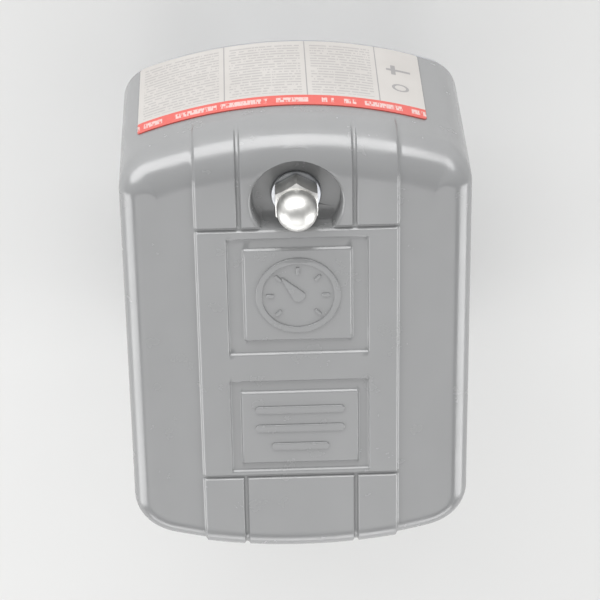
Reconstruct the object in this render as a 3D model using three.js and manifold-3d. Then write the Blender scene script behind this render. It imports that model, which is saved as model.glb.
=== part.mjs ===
// Water-pump pressure switch: a grey moulded cover held by one acorn nut, over a stamped steel
// frame that carries the diaphragm housing, the spring-loaded lever and the contact mechanism.
// Millimetres. +Z is up, along the pipe port and the spring studs; -Y is the front, the label
// side. The origin is the centre of the port's mouth.
import * as THREE from "three";
import { mergeVertices } from "three/addons/utils/BufferGeometryUtils.js";
import Module from "manifold-3d";

const wasm = await Module();
wasm.setup();

// ---- Driving dimensions -------------------------------------------------------------------

// Cover: plan outline, levels and relief.
const COVER = {
  halfWidth: 36.5,
  frontY: -36,
  backY: 66,
  frontArc: 92, // plan radius of the bowed front wall
  backArc: 120, // plan radius of the bowed back wall
  frontCorner: 8,
  backCorner: 11,
  wall: 2.4,
  rimZ: 25.8,
  faceZ: 73.4,
  edge: 6, // rounding of the top edges
  bandHalf: 21, // half width of the raised middle band
  bandRise: 0.7,
  stripHalf: 12,
  grooveWidth: 1,
};
const GROOVE_Y = [-15.6, 45.4]; // the two cross grooves on the band
const POCKET = { radius: 9.4, floorZ: 69.4, backY: -15.6 };
const LABEL = { leftX: -27.8, rightX: 32.6, lowZ: 26.6, highZ: 58, thick: 0.3 };
const ACORN = { acrossFlats: 8.7, lowZ: 70.2, hexTop: 75.2, domeRadius: 4.2, domeZ: 77.4 };
const WASHER = { radius: 5.2, lowZ: 69.45, highZ: 70.15 };

// Frame and pressure side.
const PLATE = { lowZ: 24, highZ: 25.6, inset: 0.6 };
const CONDUIT = { y: 41.5, z: 43, radius: 11.1, earRadius: 13.1, faceX: 32.2, thick: 1.6 };
const ARCH_REACH = 13.5; // half width of the notch in the cover in front of each conduit ear
const PORT = { radius: 5.7, depth: 12, acrossFlats: 22 };
const FLANGE = { radius: 28, screwCircle: 24.5, screwAngles: [35, 145, 215, 325] };
const FLANGE_SCREW = { lowZ: 15.4, seatZ: 18.4, tipZ: 27.2, shank: 1.9, head: 3, seat: 3.7, socket: 1.6 };
const PISTON_HOLE = 5.3; // radius of the frame's middle hole, round the piston's stem
const PIVOT_EAR = { x: 14.5, thick: 1.6, front: 4.3, back: 3.8, rise: 3.8, round: 3.6 };
const LIPS = [{ half: 14, y0: -31.4, y1: -30.2 }, { half: 12, y0: 61, y1: 62.2 }];
const LIP_TOP = 30;

// Springs and studs, which stand on the frame and pass through the lever.
const RANGE = {
  y: -21.5,
  studRadius: 2.4,
  studTop: 77.4,
  coilRadius: 8.4,
  wire: 1.1,
  lowZ: 34.25,
  highZ: 54.5,
  leverHole: 4.6,
};
const DIFF = {
  y: 9.5,
  studRadius: 2.05,
  studTop: 65,
  coilRadius: 4,
  wire: 0.75,
  lowZ: 33.05,
  highZ: 55,
  leverHole: 3.4,
};

// Lever, contact carrier and their shared pivot.
const PIVOT = { y: 20, z: 35.7, radius: 1.95, clear: 2.05 };
const LEVER = { halfWidth: 13, frontY: -32, backY: 23, lowZ: 31.2, thick: 1.8, wall: 1.6 };
const LEVER_ARM = [[6, 33], [13, 33], [10.8, 51.5], [8.4, 51.5]]; // (y, z) outline
const CARRIER = { frontY: 17.5, backY: 20.3, lowZ: 41, topZ: 53, halfWidth: 28, hookEnd: 10.8 };
const LUG = { x: 17, thick: 3, y0: 16.6, y1: 23.3, lowZ: 32.4, round: 0.8 };
const CUP = { radius: 3.5, frontY: 15.2, pocket: 2.6, floorY: 16.2 };
const RIB = { frontY: 15.8, height: 1.6, gap: [7, 12] }; // along the panel's foot, but not at the hook
const CONTACT_Z = 48.5;
const CONTACT = { radius: 2.2, moving: [21.2, 22.05], fixed: [22.15, 22.95] };
const BRIDGE = { x: 14.55, halfLength: 9.8, halfHeight: 2.1, backY: 21.15 };
const TERMINAL_X = [-21.6, -7.5, 7.5, 21.6];
const BLOCK = { halfWidth: 29, frontY: 24, backY: 35, ledgeZ: 44, wallTop: 54 };
const WALLS = { x: [-28.1, -15, 0, 15, 28.1], half: 0.9 };
const FOOT = { half: 5, reach: 4, topZ: 29 };
const STRIP = { half: 4.5, standingHalf: 3.5, thick: 1.1, topZ: 51.5, frontY: 23, backY: 34.5 };
const CLAMP = { half: 4.2, frontY: 26.2, backY: 34, lowZ: 45.3, highZ: 46.4, grip: 0.8, gripTop: 47.6 };
const TERMINAL_SCREW = { y: 30, tipZ: 35, headZ: 46.5, topZ: 49.2, shank: 1.95, head: 3.1 };
const BLOCK_SCREW = { x: 12, y: 38.5, tipZ: 22.4, headZ: 29.05, topZ: 31.2, shank: 1.65, head: 3.2 };
const GROUND = { x: 21, y: 50.5, tipZ: 21, headZ: 26.5, topZ: 29.4, shank: 1.65, head: 3.9 };
// The over-centre spring: its two ends in (y, z), its coil, and the pins that it hooks onto.
const TOGGLE = {
  x: 9.5,
  from: [9.7, 49.6],
  to: [16.9, 42.9],
  coil: 0.95,
  wire: 0.25,
  pin: 0.9,
  pinFrom: 8.2,
};
const CLEAR = 0.05; // gap between pieces that touch

const TAU = 2 * Math.PI;
const radians = (degrees) => (degrees * Math.PI) / 180;

// ---- Solids -------------------------------------------------------------------------------

// A closed three.js geometry as a manifold-3d solid.
function solid(geometry) {
  const bare = geometry.clone();
  bare.deleteAttribute("normal");
  bare.deleteAttribute("uv");
  const merged = mergeVertices(bare, 1e-4);
  const corners = merged.index.array;
  const kept = [];
  for (let i = 0; i < corners.length; i += 3) {
    const [a, b, c] = corners.slice(i, i + 3);
    if (a !== b && b !== c && c !== a) kept.push(a, b, c);
  }
  return new wasm.Manifold(
    new wasm.Mesh({
      numProp: 3,
      vertProperties: merged.attributes.position.array,
      triVerts: new Uint32Array(kept),
    }),
  );
}

const join = (first, ...rest) => rest.reduce((whole, piece) => whole.add(piece), first);
const cut = (first, ...rest) => rest.reduce((whole, piece) => whole.subtract(piece), first);

function box(x0, x1, y0, y1, z0, z1) {
  const geometry = new THREE.BoxGeometry(x1 - x0, y1 - y0, z1 - z0);
  return solid(geometry.translate((x0 + x1) / 2, (y0 + y1) / 2, (z0 + z1) / 2));
}

// A cylinder, cone or prism along an axis, from a to b, about the point (x, y, z) of that axis.
function rod(axis, radius, a, b, at = [0, 0, 0], sides = 16, endRadius = radius) {
  const geometry = new THREE.CylinderGeometry(endRadius, radius, b - a, sides);
  const [x, y, z] = at;
  if (axis === "z") geometry.rotateX(Math.PI / 2).translate(x, y, (a + b) / 2);
  if (axis === "y") geometry.translate(x, (a + b) / 2, z);
  if (axis === "x") geometry.rotateZ(-Math.PI / 2).translate((a + b) / 2, y, z);
  return solid(geometry);
}

// A hexagonal prism along Z with two flats facing left and right.
function hexagon(acrossFlats, z0, z1, x, y) {
  const radius = acrossFlats / Math.sqrt(3);
  return rod("z", radius, z0, z1, [x, y, 0], 6);
}

// A profile of [radius, z] points turned about the vertical through (x, y).
function turned(profile, x = 0, y = 0, sides = 24) {
  const points = profile.map(([r, z]) => new THREE.Vector2(r, z));
  const geometry = new THREE.LatheGeometry(points, sides);
  return solid(geometry.rotateX(Math.PI / 2).translate(x, y, 0));
}

function extruded(shape, depth, options = {}) {
  return new THREE.ExtrudeGeometry(shape, {
    depth,
    bevelEnabled: false,
    curveSegments: 6,
    ...options,
  });
}

const upright = (shape, z0, z1) => solid(extruded(shape, z1 - z0).translate(0, 0, z0));

// A shape drawn in (y, z), extruded along X.
function acrossX(shape, x0, x1) {
  const turn = new THREE.Matrix4().makeBasis(
    new THREE.Vector3(0, 1, 0),
    new THREE.Vector3(0, 0, 1),
    new THREE.Vector3(1, 0, 0),
  );
  return solid(extruded(shape, x1 - x0).applyMatrix4(turn).translate(x0, 0, 0));
}

const polygon = (points) => new THREE.Shape(points.map(([a, b]) => new THREE.Vector2(a, b)));

// A plate with rounded top corners, standing on z0, drawn in (y, z).
function earShape(y0, y1, z0, z1, round) {
  const shape = new THREE.Shape();
  shape.moveTo(y0, z0);
  shape.lineTo(y1, z0);
  shape.absarc(y1 - round, z1 - round, round, 0, Math.PI / 2, false);
  shape.absarc(y0 + round, z1 - round, round, Math.PI / 2, Math.PI, false);
  return shape;
}

class Helix extends THREE.Curve {
  constructor(radius, turns, length) {
    super();
    Object.assign(this, { radius, turns, length });
  }

  getPoint(t, target = new THREE.Vector3()) {
    const angle = TAU * this.turns * t;
    return target.set(this.radius * Math.cos(angle), this.radius * Math.sin(angle), this.length * t);
  }
}

// A coil of round wire about Z, whose wire lies between z0 and z1.
function coil(radius, wire, turns, z0, z1, stepsPerTurn = 8) {
  const section = new THREE.Shape().absarc(0, 0, wire, 0, TAU, false);
  const geometry = new THREE.ExtrudeGeometry(section, {
    steps: Math.round(turns * stepsPerTurn),
    curveSegments: 3,
    bevelEnabled: false,
    extrudePath: new Helix(radius, turns, z1 - z0 - 2 * wire),
  });
  return geometry.translate(0, 0, z0 + wire);
}

// A screw along Z, with a driver slot across its head.
function screw(x, y, { tipZ, headZ, topZ, shank, head }) {
  const whole = join(
    rod("z", shank, tipZ, headZ + 0.1, [x, y, 0], 12),
    rod("z", head, headZ, topZ, [x, y, 0], 16, head * 0.82),
  );
  return cut(whole, box(x - head, x + head, y - 0.5, y + 0.5, topZ - 1, topZ + 1));
}

// ---- Materials and the group --------------------------------------------------------------

const finish = (color, roughness, metalness) =>
  new THREE.MeshStandardMaterial({ color, roughness, metalness });
const MATERIALS = {
  cover: finish(0xa6a7a7, 0.42, 0),
  label: finish(0xe6e0da, 0.5, 0),
  zinc: finish(0xb9bcc0, 0.35, 1),
  bright: finish(0xd8d9da, 0.18, 1),
  spring: finish(0x8f9296, 0.3, 1),
  brass: finish(0xc9a558, 0.3, 1),
  silver: finish(0xdedcd6, 0.25, 1),
  phenolic: finish(0x1d1d1f, 0.55, 0),
  rubber: finish(0x232323, 0.8, 0),
  green: finish(0x2f7d4a, 0.35, 1),
};

const group = new THREE.Group();

// Adds one named piece, made of a manifold solid or of a closed three.js geometry.
function add(name, piece, material) {
  let geometry = piece;
  if (!piece.isBufferGeometry) {
    const made = piece.getMesh();
    geometry = new THREE.BufferGeometry();
    geometry.setAttribute("position", new THREE.BufferAttribute(made.vertProperties, 3));
    geometry.setIndex(new THREE.BufferAttribute(made.triVerts, 1));
    geometry.computeVertexNormals();
  }
  const mesh = new THREE.Mesh(geometry, MATERIALS[material]);
  mesh.name = name;
  group.add(mesh);
  return mesh;
}

// ---- Cover --------------------------------------------------------------------------------

// One end's arc and corners in plan: the arc's centre, and where its corners are centred.
function planEnd(edgeY, radius, corner, sign) {
  const cornerX = COVER.halfWidth - corner;
  const centreY = edgeY - sign * radius;
  const cornerY = centreY + sign * Math.sqrt((radius - corner) ** 2 - cornerX ** 2);
  return { centreY, radius, corner, cornerX, cornerY, angle: Math.atan2(cornerY - centreY, cornerX) };
}

// The cover's plan outline, set in by a distance (or out, where it is negative).
function planShape(inset) {
  const front = planEnd(COVER.frontY, COVER.frontArc, COVER.frontCorner, -1);
  const back = planEnd(COVER.backY, COVER.backArc, COVER.backCorner, 1);
  const shape = new THREE.Shape();
  const turn = (x, y, radius, from, to) => shape.absarc(x, y, radius - inset, from, to, false);
  turn(0, front.centreY, front.radius, -Math.PI - front.angle, front.angle);
  turn(front.cornerX, front.cornerY, front.corner, front.angle, 0);
  turn(back.cornerX, back.cornerY, back.corner, 0, back.angle);
  turn(0, back.centreY, back.radius, back.angle, Math.PI - back.angle);
  turn(-back.cornerX, back.cornerY, back.corner, Math.PI - back.angle, Math.PI);
  turn(-front.cornerX, front.cornerY, front.corner, Math.PI, Math.PI - front.angle);
  return shape;
}

// A block of the plan outline with a rounded top edge, from below the rim up to z.
function roundedBlock(inset, z, edge) {
  const low = COVER.rimZ - 20;
  const geometry = new THREE.ExtrudeGeometry(planShape(inset), {
    depth: z - low - 2 * edge,
    curveSegments: 6,
    bevelEnabled: true,
    bevelThickness: edge,
    bevelSize: edge,
    bevelOffset: -edge,
    bevelSegments: 3,
  });
  return solid(geometry.translate(0, 0, low + edge));
}

// The cover's whole outer form, grown by a distance on every side, down to a level.
function hood(grow, lowZ) {
  const { faceZ, edge } = COVER;
  const block = roundedBlock(-grow, faceZ + grow, edge + grow);
  return block.subtract(box(-60, 60, -60, 90, -20, lowZ));
}

// The grooves' places on the band: two across it, and a strip's two edges at each end.
function grooveLines() {
  const { stripHalf, bandHalf, grooveWidth, faceZ, frontY, backY } = COVER;
  const half = grooveWidth / 2;
  const low = faceZ - 5.5;
  const across = GROOVE_Y.map((y) => box(-bandHalf, bandHalf, y - half, y + half, low, 90));
  const along = [-stripHalf, stripHalf].flatMap((x) => [
    box(x - half, x + half, frontY + 2, GROOVE_Y[0], low, 90),
    box(x - half, x + half, GROOVE_Y[1], backY + 5, low, 90),
  ]);
  return join(...across, ...along);
}

// The arch through each side wall in front of the frame's conduit ear.
function sideArch(x0, x1) {
  const shape = new THREE.Shape();
  shape.moveTo(CONDUIT.y - ARCH_REACH, 0);
  shape.lineTo(CONDUIT.y + ARCH_REACH, 0);
  shape.absarc(CONDUIT.y, CONDUIT.z, ARCH_REACH, 0, Math.PI, false);
  return acrossX(shape, x0, x1);
}

function cover() {
  const { wall, bandHalf, bandRise, faceZ, rimZ } = COVER;
  const body = hood(0, rimZ);
  const grown = hood(bandRise, rimZ);
  const bandSpan = box(-bandHalf, bandHalf, -60, 90, 0, 100);
  const labelZone = box(-60, 60, -60, 0, 0, LABEL.highZ + 1.5);
  const band = grown.intersect(bandSpan).subtract(labelZone);
  const pocketAt = [0, RANGE.y, 0];
  const boss = rod("z", POCKET.radius + wall, POCKET.floorZ - wall, faceZ + 0.1, pocketAt, 28);
  const pocket = rod("z", POCKET.radius, POCKET.floorZ, 100, pocketAt, 28).subtract(
    box(-20, 20, POCKET.backY, 30, 0, 100),
  );
  const grooves = grown.subtract(hood(0.1, rimZ)).intersect(grooveLines());
  return cut(
    join(cut(join(body, band), hood(-wall, rimZ - 5)), boss.intersect(body)),
    pocket,
    rod("z", RANGE.studRadius + 0.5, 60, 100, pocketAt),
    grooves,
    sideArch(30, 45),
    sideArch(-45, -30),
  );
}

function label() {
  const { leftX, rightX, lowZ, highZ, thick } = LABEL;
  const sheet = upright(planShape(-thick - 0.05), lowZ, highZ).subtract(
    upright(planShape(-0.05), lowZ - 1, highZ + 1),
  );
  return sheet.intersect(box(leftX, rightX, -60, -20, 0, 100));
}

add("cover", cover(), "cover");
add("label", label(), "label");

// ---- Cover nut and its washer -------------------------------------------------------------

const nutAt = [0, RANGE.y, 0];

function acornNut() {
  const { acrossFlats, lowZ, hexTop, domeRadius, domeZ } = ACORN;
  const dome = [[0, hexTop - 1], [domeRadius, hexTop - 1]];
  for (let i = 0; i <= 4; i += 1) {
    const angle = (i / 4) * (Math.PI / 2);
    dome.push([domeRadius * Math.cos(angle), domeZ + domeRadius * Math.sin(angle)]);
  }
  const body = join(hexagon(acrossFlats, lowZ, hexTop, 0, RANGE.y), turned(dome, 0, RANGE.y, 20));
  return cut(body, rod("z", RANGE.studRadius + 0.1, lowZ - 10, RANGE.studTop + 0.9, nutAt));
}

function washer() {
  const disc = rod("z", WASHER.radius, WASHER.lowZ, WASHER.highZ, nutAt);
  return cut(disc, rod("z", RANGE.studRadius + 0.15, WASHER.lowZ - 1, WASHER.highZ + 1, nutAt));
}

add("cover_nut", acornNut(), "bright");
add("cover_nut_washer", washer(), "zinc");

// ---- Frame --------------------------------------------------------------------------------

const flangeScrewSpots = FLANGE.screwAngles.map((degrees) => [
  FLANGE.screwCircle * Math.cos(radians(degrees)),
  FLANGE.screwCircle * Math.sin(radians(degrees)),
]);

function baseFrame() {
  const { lowZ, highZ, inset } = PLATE;
  const plate = upright(planShape(inset), lowZ, highZ);
  const { y, z, radius, earRadius, faceX, thick } = CONDUIT;
  const conduitEars = [-1, 1].map((side) => {
    const inner = Math.min(side * faceX, side * (faceX - thick));
    const shape = earShape(y - earRadius, y + earRadius, highZ - 0.5, z + earRadius, earRadius);
    const ear = acrossX(shape, inner, inner + thick);
    return ear.subtract(rod("x", radius, -50, 50, [0, y, z], 32));
  });
  const { x: earX, thick: earThick, front, back, rise, round } = PIVOT_EAR;
  const pivotEars = [-earX - earThick, earX].map((inner) => {
    const shape = earShape(PIVOT.y - front, PIVOT.y + back, highZ - 0.5, PIVOT.z + rise, round);
    return acrossX(shape, inner, inner + earThick);
  });
  const lips = LIPS.map(({ half, y0, y1 }) => box(-half, half, y0, y1, highZ - 0.5, LIP_TOP));
  const through = (radius, x, yAt, sides) => rod("z", radius, 20, 30, [x, yAt, 0], sides);
  const holes = [
    through(PISTON_HOLE, 0, 0),
    through(RANGE.studRadius + CLEAR, 0, RANGE.y),
    through(DIFF.studRadius + CLEAR, 0, DIFF.y),
    rod("x", PIVOT.radius + CLEAR, -20, 20, [0, PIVOT.y, PIVOT.z]),
    ...flangeScrewSpots.map(([x, yAt]) => through(FLANGE_SCREW.shank + 0.2, x, yAt, 12)),
    ...[GROUND, BLOCK_SCREW].flatMap((spot) =>
      [-1, 1].map((side) => through(spot.shank + 0.1, side * spot.x, spot.y, 12)),
    ),
  ];
  return cut(join(plate, ...conduitEars, ...pivotEars, ...lips), ...holes);
}

add("base_frame", baseFrame(), "zinc");

// ---- Pressure side: housing, diaphragm, piston and flange screws ---------------------------

function pressureHousing() {
  const dish = turned([
    [0, 11], [12, 11], [13.5, 12.6], [19.2, 13.6], [20.4, 14.8], [20.4, 18.5],
    [FLANGE.radius, 18.5], [FLANGE.radius, 24], [22.1, 24], [22.1, 22], [18.4, 22], [18.4, 16], [0, 16],
  ], 0, 0, 32);
  const mouth = PORT.radius + 1.2;
  return cut(
    join(dish, hexagon(PORT.acrossFlats, 0, 12, 0, 0)),
    rod("z", PORT.radius, -1, PORT.depth, [0, 0, 0], 24),
    rod("z", mouth + 0.1, -0.1, 1.2, [0, 0, 0], 24, PORT.radius),
    rod("z", 2, 10, 17, [0, 0, 0], 12),
    ...flangeScrewSpots.map(([x, y]) => rod("z", FLANGE_SCREW.shank + 0.2, 10, 30, [x, y, 0], 12)),
  );
}

add("pressure_housing", pressureHousing(), "zinc");
add(
  "diaphragm",
  turned([
    [0, 17.6], [13.2, 17.6], [14.6, 17.9], [15.6, 20.4], [16.5, 21.2], [17.4, 20.6], [18.2, 22],
    [21.9, 22], [21.9, 23.95], [18.6, 23.95], [17.6, 22.2], [16.5, 22.7], [15, 22], [13.7, 19],
    [0, 19],
  ]),
  "rubber",
);
add(
  "pressure_piston",
  turned([
    [0, 19.1], [12.2, 19.1], [12.6, 19.5], [12.6, 22], [12.2, 22.4], [5, 22.4], [5, 29.4],
    [4.4, 30.3], [2.6, 30.85], [0, 31],
  ]),
  "brass",
);
flangeScrewSpots.forEach(([x, y], i) => {
  const { lowZ, seatZ, tipZ, shank, head, seat, socket } = FLANGE_SCREW;
  const body = rod("z", shank, seatZ - 0.4, tipZ, [x, y, 0], 12);
  const cap = rod("z", head, lowZ, seatZ, [x, y, 0], 16, seat);
  const drive = rod("z", socket, lowZ - 0.4, lowZ + 1.8, [x, y, 0], 6);
  add(`flange_screw_${i + 1}`, cut(join(cap, body), drive), "zinc");
});

// ---- Range and differential springs -------------------------------------------------------

function stud({ y, studRadius, studTop }, collarRadius, collarTop) {
  return join(
    rod("z", studRadius, PLATE.lowZ + 0.1, studTop - 0.8, [0, y, 0]),
    rod("z", studRadius, studTop - 0.8, studTop, [0, y, 0], 16, studRadius * 0.7),
    rod("z", collarRadius, PLATE.highZ + 0.05, collarTop, [0, y, 0]),
  );
}

// The disc that the nut presses on the spring with, and its spigot inside the coil.
function springCap({ y, studRadius, highZ }, radius, thick, spigot) {
  const at = [0, y, 0];
  const disc = rod("z", radius, highZ + 0.05, highZ + 0.05 + thick, at, 24);
  return cut(
    disc.add(rod("z", spigot, highZ - 2.6, highZ + 0.1, at, 24)),
    rod("z", studRadius + 0.2, 0, 100, at),
  );
}

function adjustingNut({ y, studRadius }, acrossFlats, z0, z1) {
  return cut(hexagon(acrossFlats, z0, z1, 0, y), rod("z", studRadius + 0.1, 0, 100, [0, y, 0]));
}

const springSeat = [
  [5.2, 33.05], [10.9, 33.05], [10.9, 37], [10.1, 37], [10.1, 34.2], [5.2, 34.2], [5.2, 33.05],
];
add("range_stud", stud(RANGE, 4, 27.5), "zinc");
add("range_spring_seat", turned(springSeat, 0, RANGE.y), "zinc");
add(
  "range_spring",
  coil(RANGE.coilRadius, RANGE.wire, 6.5, RANGE.lowZ, RANGE.highZ).translate(0, RANGE.y, 0),
  "spring",
);
add("range_spring_cap", springCap(RANGE, 10.2, 1.95, 6.8), "zinc");
add("range_nut", adjustingNut(RANGE, 9.5, 56.65, 61.65), "bright");
add("differential_stud", stud(DIFF, 3.4, 27), "zinc");
add(
  "differential_spring",
  coil(DIFF.coilRadius, DIFF.wire, 7, DIFF.lowZ, DIFF.highZ).translate(0, DIFF.y, 0),
  "spring",
);
add("differential_spring_cap", springCap(DIFF, 4.8, 1.45, 2.7), "zinc");
add("differential_nut", adjustingNut(DIFF, 8.7, 56.6, 61), "bright");

// ---- Lever and its pivot ------------------------------------------------------------------

function operatingLever() {
  const { halfWidth, frontY, backY, lowZ, thick, wall } = LEVER;
  const plate = box(-halfWidth, halfWidth, frontY, backY, lowZ, lowZ + thick);
  const flange = polygon([
    [frontY, lowZ], [backY, lowZ], [backY, PIVOT.z + 2.2], [PIVOT.y + 1.5, PIVOT.z + 3.6],
    [PIVOT.y - 2, PIVOT.z + 3.6], [PIVOT.y - 7, 37.6], [frontY + 4, 36.4], [frontY, 34.5],
  ]);
  const armPin = rod("x", TOGGLE.pin, TOGGLE.pinFrom, halfWidth - 1.5, [0, ...TOGGLE.from], 12);
  return cut(
    join(
      plate,
      acrossX(flange, -halfWidth, -halfWidth + wall),
      acrossX(flange, halfWidth - wall, halfWidth),
      acrossX(polygon(LEVER_ARM), halfWidth - wall, halfWidth),
      armPin,
    ),
    ...[RANGE, DIFF].map(({ y, leverHole }) => rod("z", leverHole, 20, 34, [0, y, 0])),
    rod("x", PIVOT.clear, -20, 20, [0, PIVOT.y, PIVOT.z]),
  );
}

add("operating_lever", operatingLever(), "zinc");
add("pivot_pin", rod("x", PIVOT.radius, -22, 22, [0, PIVOT.y, PIVOT.z]), "bright");
for (const [name, x] of [["pin_clip_left", -21.4], ["pin_clip_right", 20.6]]) {
  const at = [0, PIVOT.y, PIVOT.z];
  const mouth = box(x - 1, x + 2, PIVOT.y - 1.3, PIVOT.y + 1.3, PIVOT.z, PIVOT.z + 6);
  add(name, cut(rod("x", 3.4, x, x + 0.8, at), rod("x", 2, x - 1, x + 2, at), mouth), "spring");
}

// ---- Contact carrier ----------------------------------------------------------------------

const BRIDGE_X = [-BRIDGE.x, BRIDGE.x]; // the middle of each pole

function contactCarrier() {
  const { frontY, backY, lowZ, topZ, halfWidth } = CARRIER;
  const panel = box(-halfWidth, halfWidth, frontY, backY, lowZ, topZ);
  const lugs = [-LUG.x - LUG.thick, LUG.x].map((x) => {
    const shape = earShape(LUG.y0, LUG.y1, LUG.lowZ, lowZ + 0.5, LUG.round);
    return acrossX(shape, x, x + LUG.thick);
  });
  const ribs = [[-halfWidth, RIB.gap[0]], [RIB.gap[1], halfWidth]].map(([x0, x1]) =>
    box(x0, x1, RIB.frontY, frontY + 0.1, lowZ, lowZ + RIB.height),
  );
  const round = (radius, y0, y1) => BRIDGE_X.map((x) => rod("y", radius, y0, y1, [x, 0, CONTACT_Z]));
  const cups = round(CUP.radius, CUP.frontY, frontY + 0.1);
  const pockets = round(CUP.pocket, CUP.floorY, backY + 1);
  const hook = rod("x", TOGGLE.pin, TOGGLE.pinFrom, CARRIER.hookEnd, [0, ...TOGGLE.to], 12);
  return cut(
    join(panel, ...lugs, ...ribs, ...cups, hook),
    ...pockets,
    rod("x", PIVOT.clear, -30, 30, [0, PIVOT.y, PIVOT.z]),
  );
}

add("contact_carrier", contactCarrier(), "phenolic");
for (const [side, x] of [["left", BRIDGE_X[0]], ["right", BRIDGE_X[1]]]) {
  const { halfLength, halfHeight, backY } = BRIDGE;
  const [z0, z1] = [CONTACT_Z - halfHeight, CONTACT_Z + halfHeight];
  const bar = box(x - halfLength, x + halfLength, CARRIER.backY + 0.1, backY, z0, z1);
  add(`contact_bridge_${side}`, bar, "brass");
  const spring = coil(1.9, 0.3, 2.5, 16.3, 20.3).rotateX(-Math.PI / 2);
  add(`contact_spring_${side}`, spring.translate(x, 0, CONTACT_Z), "spring");
}
TERMINAL_X.forEach((x, i) => {
  const at = [x, 0, CONTACT_Z];
  for (const kind of ["moving", "fixed"]) {
    const rivet = rod("y", CONTACT.radius, ...CONTACT[kind], at, 12);
    add(`${kind}_contact_${i + 1}`, rivet, "silver");
  }
});

// The over-centre spring, stretched between the lever's arm and the carrier's hook.
function toggleSpring() {
  const from = new THREE.Vector3(TOGGLE.x, ...TOGGLE.from);
  const to = new THREE.Vector3(TOGGLE.x, ...TOGGLE.to);
  const reach = to.clone().sub(from);
  const length = reach.length() - 2.2;
  const turn = new THREE.Quaternion().setFromUnitVectors(
    new THREE.Vector3(0, 0, 1),
    reach.clone().normalize(),
  );
  const start = from.clone().addScaledVector(reach.normalize(), 1.1);
  return coil(TOGGLE.coil, TOGGLE.wire, 5, 0, length, 6).applyQuaternion(turn).translate(...start);
}

add("toggle_spring", toggleSpring(), "spring");

// ---- Terminal block -----------------------------------------------------------------------

function terminalBlock() {
  const { halfWidth, frontY, backY, ledgeZ, wallTop } = BLOCK;
  const body = box(-halfWidth, halfWidth, frontY, backY, PLATE.highZ + CLEAR, ledgeZ);
  const walls = WALLS.x.map((x) =>
    box(x - WALLS.half, x + WALLS.half, frontY, backY, ledgeZ - 1, wallTop),
  );
  const { x: footX, y: footY } = BLOCK_SCREW;
  const { half, reach, topZ } = FOOT;
  const footLow = PLATE.highZ + CLEAR;
  const feet = box(-footX - half, footX + half, backY - 1, footY + reach, footLow, topZ);
  const hollow = box(-footX + half, footX - half, backY + 0.01, footY + reach + 1, 20, 40);
  const belly = box(-halfWidth + 2, halfWidth - 2, frontY - 1, backY - 2, 20, 31);
  return cut(
    join(body, ...walls, feet),
    hollow,
    belly,
    ...TERMINAL_X.map((x) => rod("z", 2.2, 33, 50, [x, TERMINAL_SCREW.y, 0], 16)),
    ...[-1, 1].map((side) => rod("z", 1.8, 20, 40, [side * footX, footY, 0], 16)),
  );
}

add("terminal_block", terminalBlock(), "phenolic");

function terminalStrip(x) {
  const { half, standingHalf, thick, topZ, frontY, backY } = STRIP;
  const lowZ = BLOCK.ledgeZ + 0.02;
  const lying = box(x - half, x + half, frontY, backY, lowZ, BLOCK.ledgeZ + 0.1 + thick);
  const standing = box(x - standingHalf, x + standingHalf, frontY, frontY + thick, lowZ, topZ);
  return cut(join(lying, standing), rod("z", 2.2, 40, 50, [x, TERMINAL_SCREW.y, 0], 16));
}

function wireClamp(x) {
  const { half, frontY, backY, lowZ, highZ, grip, gripTop } = CLAMP;
  const flat = box(x - half, x + half, frontY, backY, lowZ, highZ);
  const edge = box(x - half, x + half, backY - grip, backY, lowZ, gripTop);
  return cut(join(flat, edge), rod("z", 2.15, 40, 50, [x, TERMINAL_SCREW.y, 0], 16));
}

TERMINAL_X.forEach((x, i) => {
  add(`terminal_strip_${i + 1}`, terminalStrip(x), "brass");
  add(`wire_clamp_${i + 1}`, wireClamp(x), "zinc");
  add(`terminal_screw_${i + 1}`, screw(x, TERMINAL_SCREW.y, TERMINAL_SCREW), "brass");
});

// The cup washer under a ground screw, which holds the wire in.
const GROUND_CUP = [
  [1.9, 25.7], [4.9, 25.7], [5.4, 27.6], [4.8, 27.6], [4.4, 26.4], [1.9, 26.4], [1.9, 25.7],
];
for (const [name, side] of [["left", -1], ["right", 1]]) {
  const groundX = side * GROUND.x;
  add(`block_screw_${name}`, screw(side * BLOCK_SCREW.x, BLOCK_SCREW.y, BLOCK_SCREW), "zinc");
  add(`ground_cup_${name}`, turned(GROUND_CUP, groundX, GROUND.y, 16), "zinc");
  add(`ground_screw_${name}`, screw(groundX, GROUND.y, GROUND), "green");
}

export default group;
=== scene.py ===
import math

import bmesh
import bpy
from mathutils import Matrix, Vector


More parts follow.
